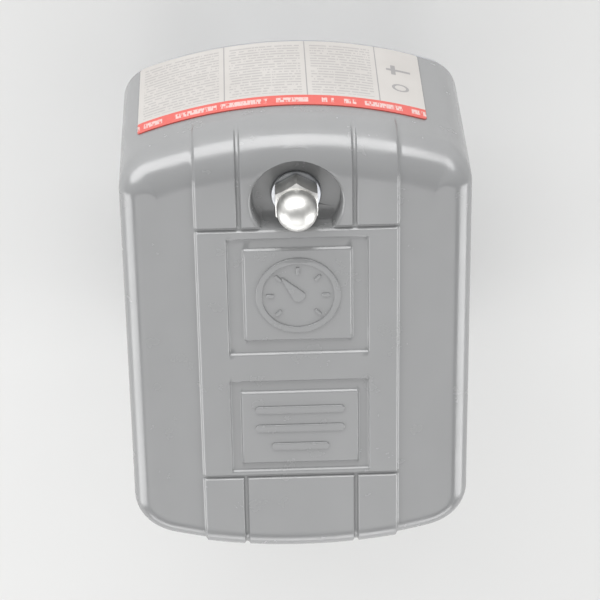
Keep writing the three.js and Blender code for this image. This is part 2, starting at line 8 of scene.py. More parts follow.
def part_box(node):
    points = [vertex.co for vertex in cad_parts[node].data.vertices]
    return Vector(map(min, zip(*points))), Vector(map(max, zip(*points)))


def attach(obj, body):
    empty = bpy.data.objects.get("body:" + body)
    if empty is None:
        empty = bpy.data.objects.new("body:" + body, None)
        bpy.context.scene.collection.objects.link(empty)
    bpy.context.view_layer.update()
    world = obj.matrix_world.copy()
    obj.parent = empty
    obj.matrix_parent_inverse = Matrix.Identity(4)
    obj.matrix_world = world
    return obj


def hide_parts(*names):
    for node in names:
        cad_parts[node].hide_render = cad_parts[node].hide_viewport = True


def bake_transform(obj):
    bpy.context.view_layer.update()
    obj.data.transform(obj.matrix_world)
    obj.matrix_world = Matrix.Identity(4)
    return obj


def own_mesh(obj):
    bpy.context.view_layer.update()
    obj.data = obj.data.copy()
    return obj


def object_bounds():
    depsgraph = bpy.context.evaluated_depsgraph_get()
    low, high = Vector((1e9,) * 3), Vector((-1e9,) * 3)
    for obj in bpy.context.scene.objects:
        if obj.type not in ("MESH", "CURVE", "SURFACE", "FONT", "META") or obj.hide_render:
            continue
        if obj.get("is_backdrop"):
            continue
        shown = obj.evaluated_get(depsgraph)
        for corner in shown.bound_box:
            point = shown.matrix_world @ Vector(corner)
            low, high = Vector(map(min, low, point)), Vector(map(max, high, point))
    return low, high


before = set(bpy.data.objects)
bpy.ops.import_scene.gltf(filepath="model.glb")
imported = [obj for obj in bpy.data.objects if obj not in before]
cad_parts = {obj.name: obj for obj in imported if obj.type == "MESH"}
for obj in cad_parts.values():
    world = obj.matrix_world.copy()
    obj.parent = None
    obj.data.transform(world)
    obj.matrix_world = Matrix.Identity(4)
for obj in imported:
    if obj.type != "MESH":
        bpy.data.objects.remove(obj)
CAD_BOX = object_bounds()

# A water-pump pressure switch. Sizes are in millimetres until mesh_object() or plate() makes a
# mesh, which is in metres. The axes are the frame's: +Z up the studs, -Y the label side.

MM = 0.001

# ---- Places taken from the frame ----


def span(node):
    """A CAD node's lowest and highest corners, in millimetres."""
    low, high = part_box(node)
    return low / MM, high / MM


def centre(node):
    low, high = span(node)
    return (low + high) / 2


COVER_LOW, COVER_HIGH = span("cover")
BAND_RISE = 0.7  # how far the cover's middle band stands out of the plain hood
FACE_Z = COVER_HIGH.z - BAND_RISE
RIM_Z = COVER_LOW.z
FRONT_Y = COVER_LOW.y + BAND_RISE
BACK_Y = COVER_HIGH.y - BAND_RISE
HALF_WIDTH = COVER_HIGH.x
RANGE_Y = centre("range_stud").y
DIFF_Y = centre("differential_stud").y

# ---- Meshes ----


def new_object(name, data):
    obj = bpy.data.objects.new(name, data)
    bpy.context.scene.collection.objects.link(obj)
    return obj


def clean(mesh, sharp, face_out=False):
    """Merges points that coincide, and shades smooth except at edges over sharp degrees."""
    work = bmesh.new()
    work.from_mesh(mesh)
    bmesh.ops.remove_doubles(work, verts=work.verts, dist=0.002 * MM)
    bmesh.ops.dissolve_degenerate(work, edges=work.edges, dist=0.001 * MM)
    if face_out:
        bmesh.ops.recalc_face_normals(work, faces=work.faces)
    work.to_mesh(mesh)
    work.free()
    mesh.polygons.foreach_set("use_smooth", [True] * len(mesh.polygons))
    mesh.set_sharp_from_angle(angle=math.radians(sharp))


def mesh_object(name, points, faces, sharp=32):
    """An object from points in millimetres."""
    mesh = bpy.data.meshes.new(name)
    mesh.from_pydata([Vector(p) * MM for p in points], [], faces)
    clean(mesh, sharp, True)
    return new_object(name, mesh)


def bands(rows, count, closed=False):
    """The faces between neighbouring rings of count points; closed joins the last to the first."""
    faces = []
    for j in range(rows if closed else rows - 1):
        a, b = j * count, (j + 1) % rows * count
        faces += [(a + k, a + (k + 1) % count, b + (k + 1) % count, b + k) for k in range(count)]
    return faces


def bridge(upper, lower):
    """The faces between two closed rings of point indices."""
    pairs = list(zip(upper, lower))
    return [(a, b, d, c) for (a, b), (c, d) in zip(pairs, pairs[1:] + pairs[:1])]


def ends(rows, count):
    """The faces that close the first and the last ring."""
    return [tuple(reversed(range(count))), tuple(range((rows - 1) * count, rows * count))]


def arc(cx, cy, radius, start, end, steps):
    """Points of an arc, from one angle to another, in degrees."""
    angles = [math.radians(start + (end - start) * i / steps) for i in range(steps + 1)]
    return [(cx + radius * math.cos(a), cy + radius * math.sin(a)) for a in angles]


def circle(cx, cy, radius, steps=40):
    return arc(cx, cy, radius, 0, 360, steps)[:-1]


def rounded_rect(x0, y0, x1, y1, radius, steps=6):
    corners = [(x1 - radius, y1 - radius, 0), (x0 + radius, y1 - radius, 90),
               (x0 + radius, y0 + radius, 180), (x1 - radius, y0 + radius, 270)]
    return [p for cx, cy, a in corners for p in arc(cx, cy, radius, a, a + 90, steps)]


def hex_outline(across_flats, x, y):
    return arc(x, y, across_flats / math.sqrt(3), 30, 330, 5)


def lathe(profile, at=(0, 0), sides=64):
    """A profile of (radius, z) points turned about the vertical through at.
    The profile starts and ends on the axis, or closes on itself."""
    points = [(x, y, z) for r, z in profile for x, y in circle(*at, r, sides)]
    return mesh_object("lathe", points, bands(len(profile), sides, profile[0][0] > 0))


def rod(radius, low, high):
    """The profile of a plain rod."""
    return [(0, low), (radius, low), (radius, high), (0, high)]


FLAT = Matrix.Identity(4)
# An outline drawn in (y, z), with its thickness along X.
ACROSS_X = Matrix(((0, 0, 1, 0), (1, 0, 0, 0), (0, 1, 0, 0), (0, 0, 0, 1)))
# An outline drawn in (x, z), with its thickness along -Y.
ACROSS_Y = Matrix(((1, 0, 0, 0), (0, 0, -1, 0), (0, 1, 0, 0), (0, 0, 0, 1)))
TURNED_TO_X = Matrix.Rotation(math.pi / 2, 4, "Y")
TURNED_TO_Y = Matrix.Rotation(-math.pi / 2, 4, "X")


def moved(obj, turn, x=0.0, y=0.0, z=0.0):
    obj.data.transform(Matrix.Translation(Vector((x, y, z)) * MM) @ turn)
    return obj


def lathe_x(profile, y, z, sides=40):
    """A profile of (radius, x) points turned about a line along X."""
    return moved(lathe(profile, sides=sides), TURNED_TO_X, 0, y, z)


def lathe_y(profile, x, z, sides=48):
    """A profile of (radius, y) points turned about a line along Y."""
    return moved(lathe(profile, sides=sides), TURNED_TO_Y, x, 0, z)


def drill(x, y, z0, z1, radius, sides=40):
    return lathe(rod(radius, z0, z1), (x, y), sides)


def plate(outlines, low, high, edge=0.15, turn=FLAT, rounds=2):
    """A plate between two levels from an outline and its holes, with rounded edges."""
    curve = bpy.data.curves.new("plate", "CURVE")
    curve.dimensions = "2D"
    curve.fill_mode = "BOTH"
    curve.extrude = ((high - low) / 2 - edge) * MM
    curve.bevel_depth = edge * MM
    curve.bevel_resolution = rounds
    curve.offset = -edge * MM
    for outline in outlines:
        spline = curve.splines.new("POLY")
        spline.points.add(len(outline) - 1)
        for point, (x, y) in zip(spline.points, outline):
            point.co = (x * MM, y * MM, 0, 1)
        spline.use_cyclic_u = True
    holder = new_object("plate", curve)
    bpy.context.view_layer.update()
    mesh = bpy.data.meshes.new_from_object(holder)
    bpy.data.objects.remove(holder)
    bpy.data.curves.remove(curve)
    mesh.transform(turn @ Matrix.Translation((0, 0, (low + high) / 2 * MM)))
    clean(mesh, 32, True)
    return new_object("plate", mesh)


def apply_modifier(obj):
    """Makes the result of an object's modifier its own mesh."""
    bpy.context.view_layer.update()
    shown = obj.evaluated_get(bpy.context.evaluated_depsgraph_get())
    made = bpy.data.meshes.new_from_object(shown)
    obj.modifiers.clear()
    old, obj.data = obj.data, made
    bpy.data.meshes.remove(old)


def boolean(target, tools, operation="DIFFERENCE", sharp=32):
    """Joins, cuts or intersects an object with others, which are used up."""
    for tool in tools:
        modifier = target.modifiers.new("boolean", "BOOLEAN")
        modifier.operation = operation
        modifier.solver = "EXACT"
        modifier.object = tool
        apply_modifier(target)
        bpy.data.objects.remove(tool)
    clean(target.data, sharp)
    return target


def join(parts):
    """One object from several separate closed ones."""
    work = bmesh.new()
    for part in parts:
        work.from_mesh(part.data)
        bpy.data.objects.remove(part)
    mesh = bpy.data.meshes.new("joined")
    work.to_mesh(mesh)
    work.free()
    return new_object("joined", mesh)


def level_faces(obj):
    """Weights the normals by area, so that wide flat faces beside small roundings look flat."""
    obj.modifiers.new("normals", "WEIGHTED_NORMAL").keep_sharp = True
    apply_modifier(obj)
    return obj


# ---- Materials ----


class Nodes:
    """A short way to build one material's node tree."""

    def __init__(self, name):
        self.material = bpy.data.materials.new(name)
        self.material.use_nodes = True
        self.tree = self.material.node_tree
        self.place = self.add("ShaderNodeTexCoord").outputs["Object"]

    def add(self, kind, **settings):
        node = self.tree.nodes.new(kind)
        for key, value in settings.items():
            setattr(node, key, value)
        return node

    def feed(self, socket, value):
        """Links an input to another node's output, or sets it to a number, vector or colour."""
        if isinstance(value, bpy.types.NodeSocket):
            self.tree.links.new(value, socket)
        elif socket.type == "RGBA":
            socket.default_value = (*value, 1)
        else:
            socket.default_value = value

    def put(self, node, **values):
        for key, value in values.items():
            self.feed(node.inputs[key.replace("_", " ")], value)
        return node

    def shade(self, **values):
        """Sets the shader's inputs, and gives the finished material."""
        self.put(self.tree.nodes["Principled BSDF"], **values)
        return self.material

    def stretched(self, x, y, z):
        mapping = self.put(self.add("ShaderNodeMapping"), Vector=self.place, Scale=(x, y, z))
        return mapping.outputs["Vector"]

    def noise(self, scale, detail=4, roughness=0.55, where=None):
        """Noise of about scale cells a metre."""
        node = self.put(self.add("ShaderNodeTexNoise"), Vector=where or self.place, Scale=scale,
                        Detail=detail, Roughness=roughness)
        return node.outputs["Fac"]

    def ramp(self, factor, low, high, at=(0.3, 0.7)):
        """A colour ramp between two colours or two greys."""
        node = self.put(self.add("ShaderNodeValToRGB"), Fac=factor)
        for element, position, value in zip(node.color_ramp.elements, at, (low, high)):
            element.position = position
            element.color = (value, value, value, 1) if isinstance(value, float) else (*value, 1)
        return node.outputs["Color"]

    def math(self, operation, *values):
        node = self.add("ShaderNodeMath", operation=operation)
        for socket, value in zip(node.inputs, values):
            self.feed(socket, value)
        return node.outputs[0]

    def times(self, a, b):
        return self.math("MULTIPLY", a, b)

    def larger(self, a, b):
        return self.math("MAXIMUM", a, b)

    def between(self, value, low, high):
        """1 between two limits, 0 outside them."""
        above = self.math("GREATER_THAN", value, low)
        return self.times(above, self.math("LESS_THAN", value, high))

    def mix(self, factor, a, b):
        node = self.add("ShaderNodeMix", data_type="RGBA")
        for index, value in ((0, factor), (6, a), (7, b)):
            self.feed(node.inputs[index], value)
        return node.outputs[2]

    def bump(self, height, distance, strength=1.0, **after):
        """A bump of a height map, whose full height is distance millimetres."""
        node = self.put(self.add("ShaderNodeBump"), Height=height, Distance=distance * MM,
                        Strength=strength, **after)
        return node.outputs["Normal"]


def scaled(colour, factor, more=0.0):
    return tuple(min(1, c * factor + more) for c in colour)


def moulded(name, colour, roughness, grain, mottle, gloss=0.5, painted_edge_highlight=0.0):
    """Moulded plastic: a fine spark-eroded grain, slow flow marks and slightly uneven gloss.
    painted_edge_highlight is how much of a lighter colour, a painted highlight, its convex edges
    take."""
    n = Nodes(name)
    flow = n.noise(45, 3, where=n.stretched(1, 0.45, 0.6))
    base = n.ramp(flow, scaled(colour, 1 - mottle), scaled(colour, 1 + mottle), (0.35, 0.68))
    speck = n.ramp(n.noise(5200, 2), 0.0, 1.0, (0.62, 0.74))
    base = n.mix(n.times(speck, 0.07), base, scaled(colour, 1.35))
    if painted_edge_highlight:
        # Painted highlight: the convex edges are lightened towards a paler colour.
        convex = n.add("ShaderNodeNewGeometry").outputs["Pointiness"]
        edges = n.ramp(convex, 0.0, 1.0, (0.52, 0.6))
        base = n.mix(n.times(edges, painted_edge_highlight), base, scaled(colour, 1.6))
    fine = n.bump(n.noise(2600, 3), grain)
    return n.shade(Base_Color=base, Specular_IOR_Level=gloss,
                   Roughness=n.ramp(n.noise(160, 5), roughness - 0.05, roughness + 0.07),
                   Normal=n.bump(n.noise(60, 2), 0.02, 0.5, Normal=fine))


def plated(name, colour, roughness, brushed=(1, 1, 1), tint=None, spread=0.08, dull=0.25):
    """Plated or bare metal: drawn-out polishing marks, a slightly cloudy plate and fine pits."""
    n = Nodes(name)
    base = n.ramp(n.noise(130, 5), tint or scaled(colour, 0.86), colour, (0.36, 0.62))
    dulled = n.ramp(n.noise(320, 5), 0.0, 1.0, (0.5, 0.78))
    marks = n.noise(900, 4, where=n.stretched(*brushed))
    pits = n.bump(n.noise(3800, 2), 0.003)
    base = n.mix(n.times(dulled, dull), base, scaled(colour, 0.62))
    return n.shade(Metallic=1.0, Base_Color=base,
                   Roughness=n.ramp(marks, roughness - spread, roughness + spread),
                   Normal=n.bump(marks, 0.004, 0.6, Normal=pits))


def rubber(name, colour):
    """Moulded rubber with a pale bloom."""
    n = Nodes(name)
    bloom = n.noise(220, 5)
    return n.shade(Base_Color=n.ramp(bloom, colour, scaled(colour, 2.4, 0.01), (0.42, 0.8)),
                   Roughness=n.ramp(bloom, 0.62, 0.86), Normal=n.bump(n.noise(1500, 3), 0.02))


FINISH = {
    "cover_plastic": moulded("cover_plastic", (0.214, 0.217, 0.219), 0.22, 0.007, 0.035, 0.75),
    "phenolic": moulded("phenolic", (0.016, 0.016, 0.018), 0.42, 0.02, 0.25, painted_edge_highlight=0.25),
    "bright_nickel": plated("bright_nickel", (0.72, 0.715, 0.695), 0.43, (1, 1, 0.2), spread=0.05,
                            dull=0.10),
    "zinc_plate": plated("zinc_plate", (0.64, 0.65, 0.665), 0.36, (0.25, 1, 1),
                         (0.60, 0.62, 0.665), dull=0.15),
    "spring_steel": plated("spring_steel", (0.36, 0.37, 0.385), 0.26, (1, 1, 0.3), dull=0.4),
    "brass": plated("brass", (0.80, 0.60, 0.27), 0.24, (1, 0.3, 1), (0.70, 0.49, 0.20), dull=0.3),
    "contact_silver": plated("contact_silver", (0.86, 0.85, 0.81), 0.22, dull=0.2),
    "green_screw": plated("green_screw", (0.07, 0.36, 0.14), 0.30, (1, 1, 0.4),
                          (0.05, 0.27, 0.12), dull=0.35),
    "rubber": rubber("rubber", (0.012, 0.012, 0.013)),
}


def place(obj, name, body, slot, *nodes):
    """Names a piece, gives it its material, and ties it to its body and its CAD nodes."""
    obj.name = name
    obj.data.materials.clear()
    obj.data.materials.append(FINISH[slot])
    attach(obj, body)
    if nodes:
        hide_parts(*nodes)


def stand_for(obj, node, body, slot):
    """Puts a finished piece in the place of one CAD node."""
    place(level_faces(obj), node + "_detailed", body, slot, node)


# ---- Cover ----

PLAN_ARC = {"front": 92.0, "back": 120.0}  # radii of the bowed walls
CORNER = {"front": 8.0, "back": 11.0}  # radii of the hood's corners in plan
FILLET = {"front": 8.6, "back": 6.0, "side": 4.5}  # radii between the face and the walls
WALL = 2.4
BAND_HALF = 21.0
STRIP_HALF = 12.0
GROOVE_HALF = 0.45
GROOVE_DEPTH = 0.55
CROSS_GROOVES = (-15.6, 45.4)
EMBLEM_FRAME = ((-14.7, -13.3, 14.7, 14.4), (-11.25, -10.75, 11.25, 11.05))
NAME_FRAME = ((-14.8, 21.2, 14.8, 43.9), (-12.5, 24.0, 12.5, 41.9))
CHANNEL_DEPTH = 0.6  # of the sunk border of each frame
SOFT = 0.3  # half the width over which a moulded step rises
POCKET_RADIUS = 9.4
POCKET_FLOOR = FACE_Z - 4.0
STUD_HOLE = 2.9
CROWN = 0.5  # how far the face falls from its middle to its sides
SQUARE_TOP_HALF = 22.0  # beyond this, the shoulder turns towards the corners
FACE_ROWS = (-19.0, 47.6)  # the face's rows run straight across between these
END_ROWS = (0.0, 0.3, 0.65)  # shares of the way from the fillet to those rows
WALL_ROWS = (0.03, 0.07, 0.11, 0.16, 0.22, 0.28, 0.36, 0.42, 0.5, 0.6, 0.75, 0.9, 1.0)
FILLET_STEPS = 10
CORNER_STEPS = 14
RIM_EDGE = 0.3


def step(value, low, high):
    t = min(1.0, max(0.0, (value - low) / (high - low)))
    return t * t * (3 - 2 * t)


def within(x, y, box):
    """1 inside a box of the face, 0 outside it, with soft sides."""
    x0, y0, x1, y1 = box
    sides = (x - x0, x1 - x, y - y0, y1 - y)
    return math.prod(step(s, -SOFT, SOFT) for s in sides)


def groove(distance):
    return 1 - step(abs(distance), GROOVE_HALF - 0.25, GROOVE_HALF + 0.2)


def relief(x, y, z):
    """How far the moulded surface stands out of the plain hood at a point."""
    on_band = step(BAND_HALF - abs(x), -SOFT, SOFT)
    front_fade = step(z, FACE_Z - 14, FACE_Z - 9.5) if y < 0 else 1.0
    strip_fade = step(z, FACE_Z - 26, FACE_Z - 24) if y > 0 else step(z, FACE_Z - 7, FACE_Z - 4.5)
    near, far = CROSS_GROOVES
    outside = step(y, far - 0.3, far + 0.3) + 1 - step(y, near - 0.3, near + 0.3)
    strips = groove(abs(x) - STRIP_HALF) * min(1.0, outside) * strip_fade
    cross = max(groove(y - line) for line in CROSS_GROOVES) * on_band
    height = BAND_RISE * on_band * front_fade
    height -= GROOVE_DEPTH * max(strips, cross) * (abs(x) < BAND_HALF + 1)
    for outer, inner in (EMBLEM_FRAME, NAME_FRAME):
        height -= CHANNEL_DEPTH * within(x, y, outer) * (1 - within(x, y, inner))
    return height


def stations(low, high, spacing, edges):
    """Sorted coordinates from low to high, with extra ones across each moulded edge."""
    wanted = {round(low, 3), round(high, 3)}
    for edge in edges:
        wanted.update(round(edge + SOFT * k, 3) for k in (-1, -0.5, 0, 0.5, 1))
    count = math.ceil((high - low) / spacing)
    for i in range(1, count):
        value = low + (high - low) * i / count
        if min(abs(value - w) for w in wanted) > spacing * 0.45:
            wanted.add(round(value, 3))
    return sorted(w for w in wanted if low <= w <= high)


def face_stations():
    """The x and the y coordinates of the face's points."""
    x_edges = [BAND_HALF] + [STRIP_HALF + k for k in (-GROOVE_HALF, GROOVE_HALF)]
    y_edges = [line + k for line in CROSS_GROOVES for k in (-GROOVE_HALF, GROOVE_HALF)]
    for boxes in (EMBLEM_FRAME, NAME_FRAME):
        x_edges += [box[2] for box in boxes]
        y_edges += [value for box in boxes for value in (box[1], box[3])]
    x_edges += [-x for x in x_edges]
    return (stations(-SQUARE_TOP_HALF, SQUARE_TOP_HALF, 1.6, x_edges),
            stations(*FACE_ROWS, 1.7, y_edges))


def shoulder(end, inset):
    """The hood's outline along one end, from its left side to its right: a list of
    (point on the outline, outward direction, fillet radius), in plan."""
    sign = -1 if end == "front" else 1
    edge_y = (FRONT_Y if end == "front" else BACK_Y) - sign * inset
    arc_radius, corner = PLAN_ARC[end] - inset, CORNER[end] - inset
    corner_x = HALF_WIDTH - CORNER[end]
    arc_centre = edge_y - sign * arc_radius
    corner_y = arc_centre + sign * math.sqrt((arc_radius - corner) ** 2 - corner_x**2)
    tangent = math.asin(corner_x / (arc_radius - corner))
    r_end, r_side = FILLET[end] - inset, FILLET["side"] - inset

    def on_arc(x, angle):
        y = arc_centre + sign * math.sqrt(arc_radius**2 - x * x)
        return (x, y), (math.sin(angle), sign * math.cos(angle)), r_end

    middle = [on_arc(x, 0.0) for x in face_stations()[0]]
    reach = arc_radius * math.sin(tangent) - SQUARE_TOP_HALF
    right = [on_arc(SQUARE_TOP_HALF + reach * t, tangent * t) for t in (1 / 3, 2 / 3, 1)]
    for i in range(1, CORNER_STEPS + 1):
        t = i / CORNER_STEPS
        angle = tangent + (math.pi / 2 - tangent) * t
        out = (math.sin(angle), sign * math.cos(angle))
        point = (corner_x + corner * out[0], corner_y + corner * out[1])
        right.append((point, out, r_end + (r_side - r_end) * step(t, 0, 1)))
    left = [((-p[0], p[1]), (-o[0], o[1]), r) for p, o, r in reversed(right)]
    return left + middle + right


def inner_point(edge):
    """The point in plan where the fillet at an edge meets the face."""
    (x, y), (ox, oy), radius = edge
    return x - ox * radius, y - oy * radius


def crown(x):
    """How far the face has fallen at x."""
    return CROWN * step(abs(x), BAND_HALF - 3, HALF_WIDTH)


def face_grid(front, back, top, raised):
    """The face's points, and their indices in columns from the front to the back."""
    rows = face_stations()[1]
    points, grid = [], []
    for near, far in zip(front, back):
        (fx, fy), (bx, by) = inner_point(near), inner_point(far)
        ys = [fy + (rows[0] - fy) * t for t in END_ROWS] + rows
        ys += [by + (rows[-1] - by) * t for t in reversed(END_ROWS)]
        grid.append(range(len(points), len(points) + len(ys)))
        for y in ys:
            x = fx + (bx - fx) * (y - fy) / (by - fy)
            z = top - crown(x)
            points.append((x, y, z + (relief(x, y, z) if raised else 0)))
    return points, grid


def face_border(points, grid, front, back, side):
    """The face's border in order: (index, point in plan, outward direction, fillet radius)."""
    def end_run(edges, place_in_column):
        return [(column[place_in_column], inner_point(edge), *edge[1:])
                for column, edge in zip(grid, edges)]

    def side_run(column, direction):
        return [(v, points[v][:2], direction, side) for v in column[1:-1]]

    border = end_run(front, 0) + side_run(grid[-1], (1.0, 0.0))
    return border + end_run(back, -1)[::-1] + side_run(grid[0], (-1.0, 0.0))[::-1]


def hood_shell(inset, raised):
    """Points and faces of the hood's outer or inner surface, open at the rim, and the indices of
    the rim's points in order round the hood."""
    top = FACE_Z - inset
    front, back = shoulder("front", inset), shoulder("back", inset)
    points, grid = face_grid(front, back, top, raised)
    faces = [(a[j], b[j], b[j + 1], a[j + 1])
             for a, b in zip(grid, grid[1:]) for j in range(len(a) - 1)]
    border = face_border(points, grid, front, back, FILLET["side"] - inset)
    rings = [[edge[0] for edge in border]]

    def add_ring(section):
        """Adds a ring of points. section gives how far out and how high each one lies, and how
        upright the surface is there, from the fillet's radius and the face's fall."""
        rings.append(range(len(points), len(points) + len(border)))
        for _, (x, y), (ox, oy), radius in border:
            out, z, upright = section(radius, crown(x))
            lift = relief(x + ox * out, y + oy * out, z) if raised else 0
            out += lift * upright
            z += lift * math.sqrt(1 - upright * upright)
            points.append((x + ox * out, y + oy * out, z))

    for k in range(1, FILLET_STEPS + 1):
        angle = math.pi / 2 * k / FILLET_STEPS
        sine, cosine = math.sin(angle), math.cos(angle)
        add_ring(lambda r, fall: (r * sine, top - fall - r * (1 - cosine), sine))
    foot = RIM_Z + RIM_EDGE
    for t in WALL_ROWS:
        add_ring(lambda r, fall: (r, (top - fall - r) * (1 - t) + foot * t, 1.0))
    add_ring(lambda r, fall: (r - (RIM_EDGE if raised else -RIM_EDGE), RIM_Z, 1.0))
    for upper, lower in zip(rings, rings[1:]):
        faces += bridge(upper, lower)
    return points, faces, rings[-1]


def hood():
    """The hollow hood: its outer and inner surfaces, bridged at the rim."""
    outer, faces, outer_rim = hood_shell(0, True)
    inner, inner_faces, inner_rim = hood_shell(WALL, False)
    shift = len(outer)
    faces += [tuple(shift + v for v in reversed(f)) for f in inner_faces]
    faces += bridge(outer_rim, [shift + v for v in inner_rim])
    return mesh_object("hood", outer + inner, faces)


def pocket_outline(grow):
    """The nut's pocket in plan: a circle cut off flat along the first cross groove."""
    radius = POCKET_RADIUS + grow
    back = CROSS_GROOVES[0] - RANGE_Y + grow * 0.5
    angle = math.degrees(math.acos(back / radius))
    return arc(0, RANGE_Y, radius, 90 + angle, 450 - angle, 60)


def pocket_cutter():
    """Rows of the pocket's outline, which widens at its floor's corner and at its brim."""
    brim = FACE_Z + BAND_RISE + 0.05
    levels = [(-0.5, POCKET_FLOOR), (-0.15, POCKET_FLOOR + 0.15), (0.0, POCKET_FLOOR + 0.6),
              (0.0, FACE_Z - 0.1), (0.12, FACE_Z + 0.3), (0.35, FACE_Z + 0.55), (0.8, brim),
              (2.0, FACE_Z + 3)]
    points = [(x, y, z) for grow, z in levels for x, y in pocket_outline(grow)]
    count = len(points) // len(levels)
    return mesh_object("pocket", points, bands(len(levels), count) + ends(len(levels), count))


def arch_cutters():
    """Cutters for the notch in each side wall, in front of the frame's conduit ears."""
    y, z, reach = CONDUIT["y"], CONDUIT["z"], CONDUIT["half"] + 0.4
    outline = [(y - reach, RIM_Z - 5), (y + reach, RIM_Z - 5)] + arc(y, z, reach, 0, 180, 40)
    return [plate([outline], low, low + 14, 0.01, ACROSS_X)
            for low in (HALF_WIDTH - 6, -HALF_WIDTH - 8)]


def build_cover():
    body = hood()
    boss = drill(0, RANGE_Y, POCKET_FLOOR - WALL, FACE_Z - WALL / 2, POCKET_RADIUS + WALL, 64)
    boolean(body, [boss], "UNION")
    hole = drill(0, RANGE_Y, POCKET_FLOOR - 10, POCKET_FLOOR + 1, STUD_HOLE, 32)
    boolean(body, [pocket_cutter(), hole] + arch_cutters())
    place(body, "cover_moulding", "cover", "cover_plastic", "cover")


# ---- Raised signs on the cover: a gauge in the square, and plain bars in the rectangle ----

SIGN_LOW = FACE_Z + BAND_RISE - 0.2
SIGN_HIGH = FACE_Z + BAND_RISE + 0.32
DIAL_OUTER, DIAL_INNER = 8.9, 7.6
TICKS = 7
TICK_ANGLE = 45
NEEDLE_ANGLE = 38
BARS = ((0.24, 9.6), (0.5, 9.6), (0.76, 6.2))  # (share of the frame's length, half length)
BAR_HALF = 0.85


def sign(*outlines):
    return plate(outlines, SIGN_LOW, SIGN_HIGH, 0.14)


def turned_outline(outline, degrees, at):
    cosine, sine = math.cos(math.radians(degrees)), math.sin(math.radians(degrees))
    return [(at[0] + x * cosine - y * sine, at[1] + x * sine + y * cosine) for x, y in outline]


def build_signs():
    x0, y0, x1, y1 = EMBLEM_FRAME[1]
    middle = ((x0 + x1) / 2, (y0 + y1) / 2)
    parts = [sign(circle(*middle, DIAL_OUTER, 72), circle(*middle, DIAL_INNER, 72))]
    tick = rounded_rect(-0.35, -6.7, 0.35, -5.0, 0.2, 3)
    parts += [sign(turned_outline(tick, -135 + TICK_ANGLE * k, middle)) for k in range(TICKS)]
    # The needle is a teardrop: a round hub that narrows to a point.
    needle = arc(0, 0, 1.5, 15, 165, 14) + [(-0.16, -5.4), (0.16, -5.4)]
    parts.append(sign(turned_outline(needle, NEEDLE_ANGLE, middle)))
    _, y0, _, y1 = NAME_FRAME[1]
    for share, length in BARS:
        y = y0 + (y1 - y0) * share
        parts.append(sign(rounded_rect(-length, y - BAR_HALF, length, y + BAR_HALF, 0.8)))
    place(join(parts), "cover_signs", "cover", "cover_plastic")


# ---- Label ----

LABEL_LOW, LABEL_HIGH = span("label")
LABEL_STRIP = 4.5  # height of the red strip along the label's top
LABEL_COLUMNS = (-27.8, -18.3, -3.1, 14.3, 32.6)
LABEL_CORNER = 0.8
LABEL_STEPS = 60
ROW_PITCH = 2.9
PRINT = (0.13, 0.13, 0.14)
RED = (0.50, 0.085, 0.07)
WHITE_ON_RED = (0.52, 0.42, 0.40)


def front_wall(x, offset):
    """The y of the front wall's surface at x, moved out by offset."""
    radius, corner = PLAN_ARC["front"], CORNER["front"]
    corner_x = HALF_WIDTH - corner
    arc_centre = FRONT_Y + radius
    if abs(x) <= radius * corner_x / (radius - corner):
        return arc_centre - math.sqrt((radius + offset) ** 2 - x * x)
    corner_y = arc_centre - math.sqrt((radius - corner) ** 2 - corner_x**2)
    return corner_y - math.sqrt((corner + offset) ** 2 - (abs(x) - corner_x) ** 2)


def dashes(n, x, z, pitch, fill, word, seed):
    """Rows of dashes of uneven length, as far-off print looks."""
    row = n.math("DIVIDE", z, pitch)
    on_row = n.math("LESS_THAN", n.math("FRACT", row), fill)
    cell = n.put(n.add("ShaderNodeCombineXYZ"), X=n.times(x, word),
                 Y=n.times(n.math("FLOOR", row), 3.7), Z=seed)
    words = n.noise(1.0, 2, 0.7, cell.outputs[0])
    return n.times(on_row, n.math("GREATER_THAN", words, 0.44))


def two_symbols(n, x, z, cx, heading):
    """A ring and a cross under it."""
    dx, dz = n.math("SUBTRACT", x, cx), n.math("SUBTRACT", z, heading - 8)
    away = n.math("SQRT", n.math("ADD", n.times(dx, dx), n.times(dz, dz)))
    ring = n.between(away, 1.5 - 0.32, 1.5 + 0.32)
    bar = n.times(n.between(x, cx - 2.6, cx + 2.6), n.between(z, heading - 17.0, heading - 16.0))
    stem = n.times(n.between(x, cx + 0.6, cx + 1.6), n.between(z, heading - 18.8, heading - 14.2))
    return n.larger(ring, n.larger(bar, stem))


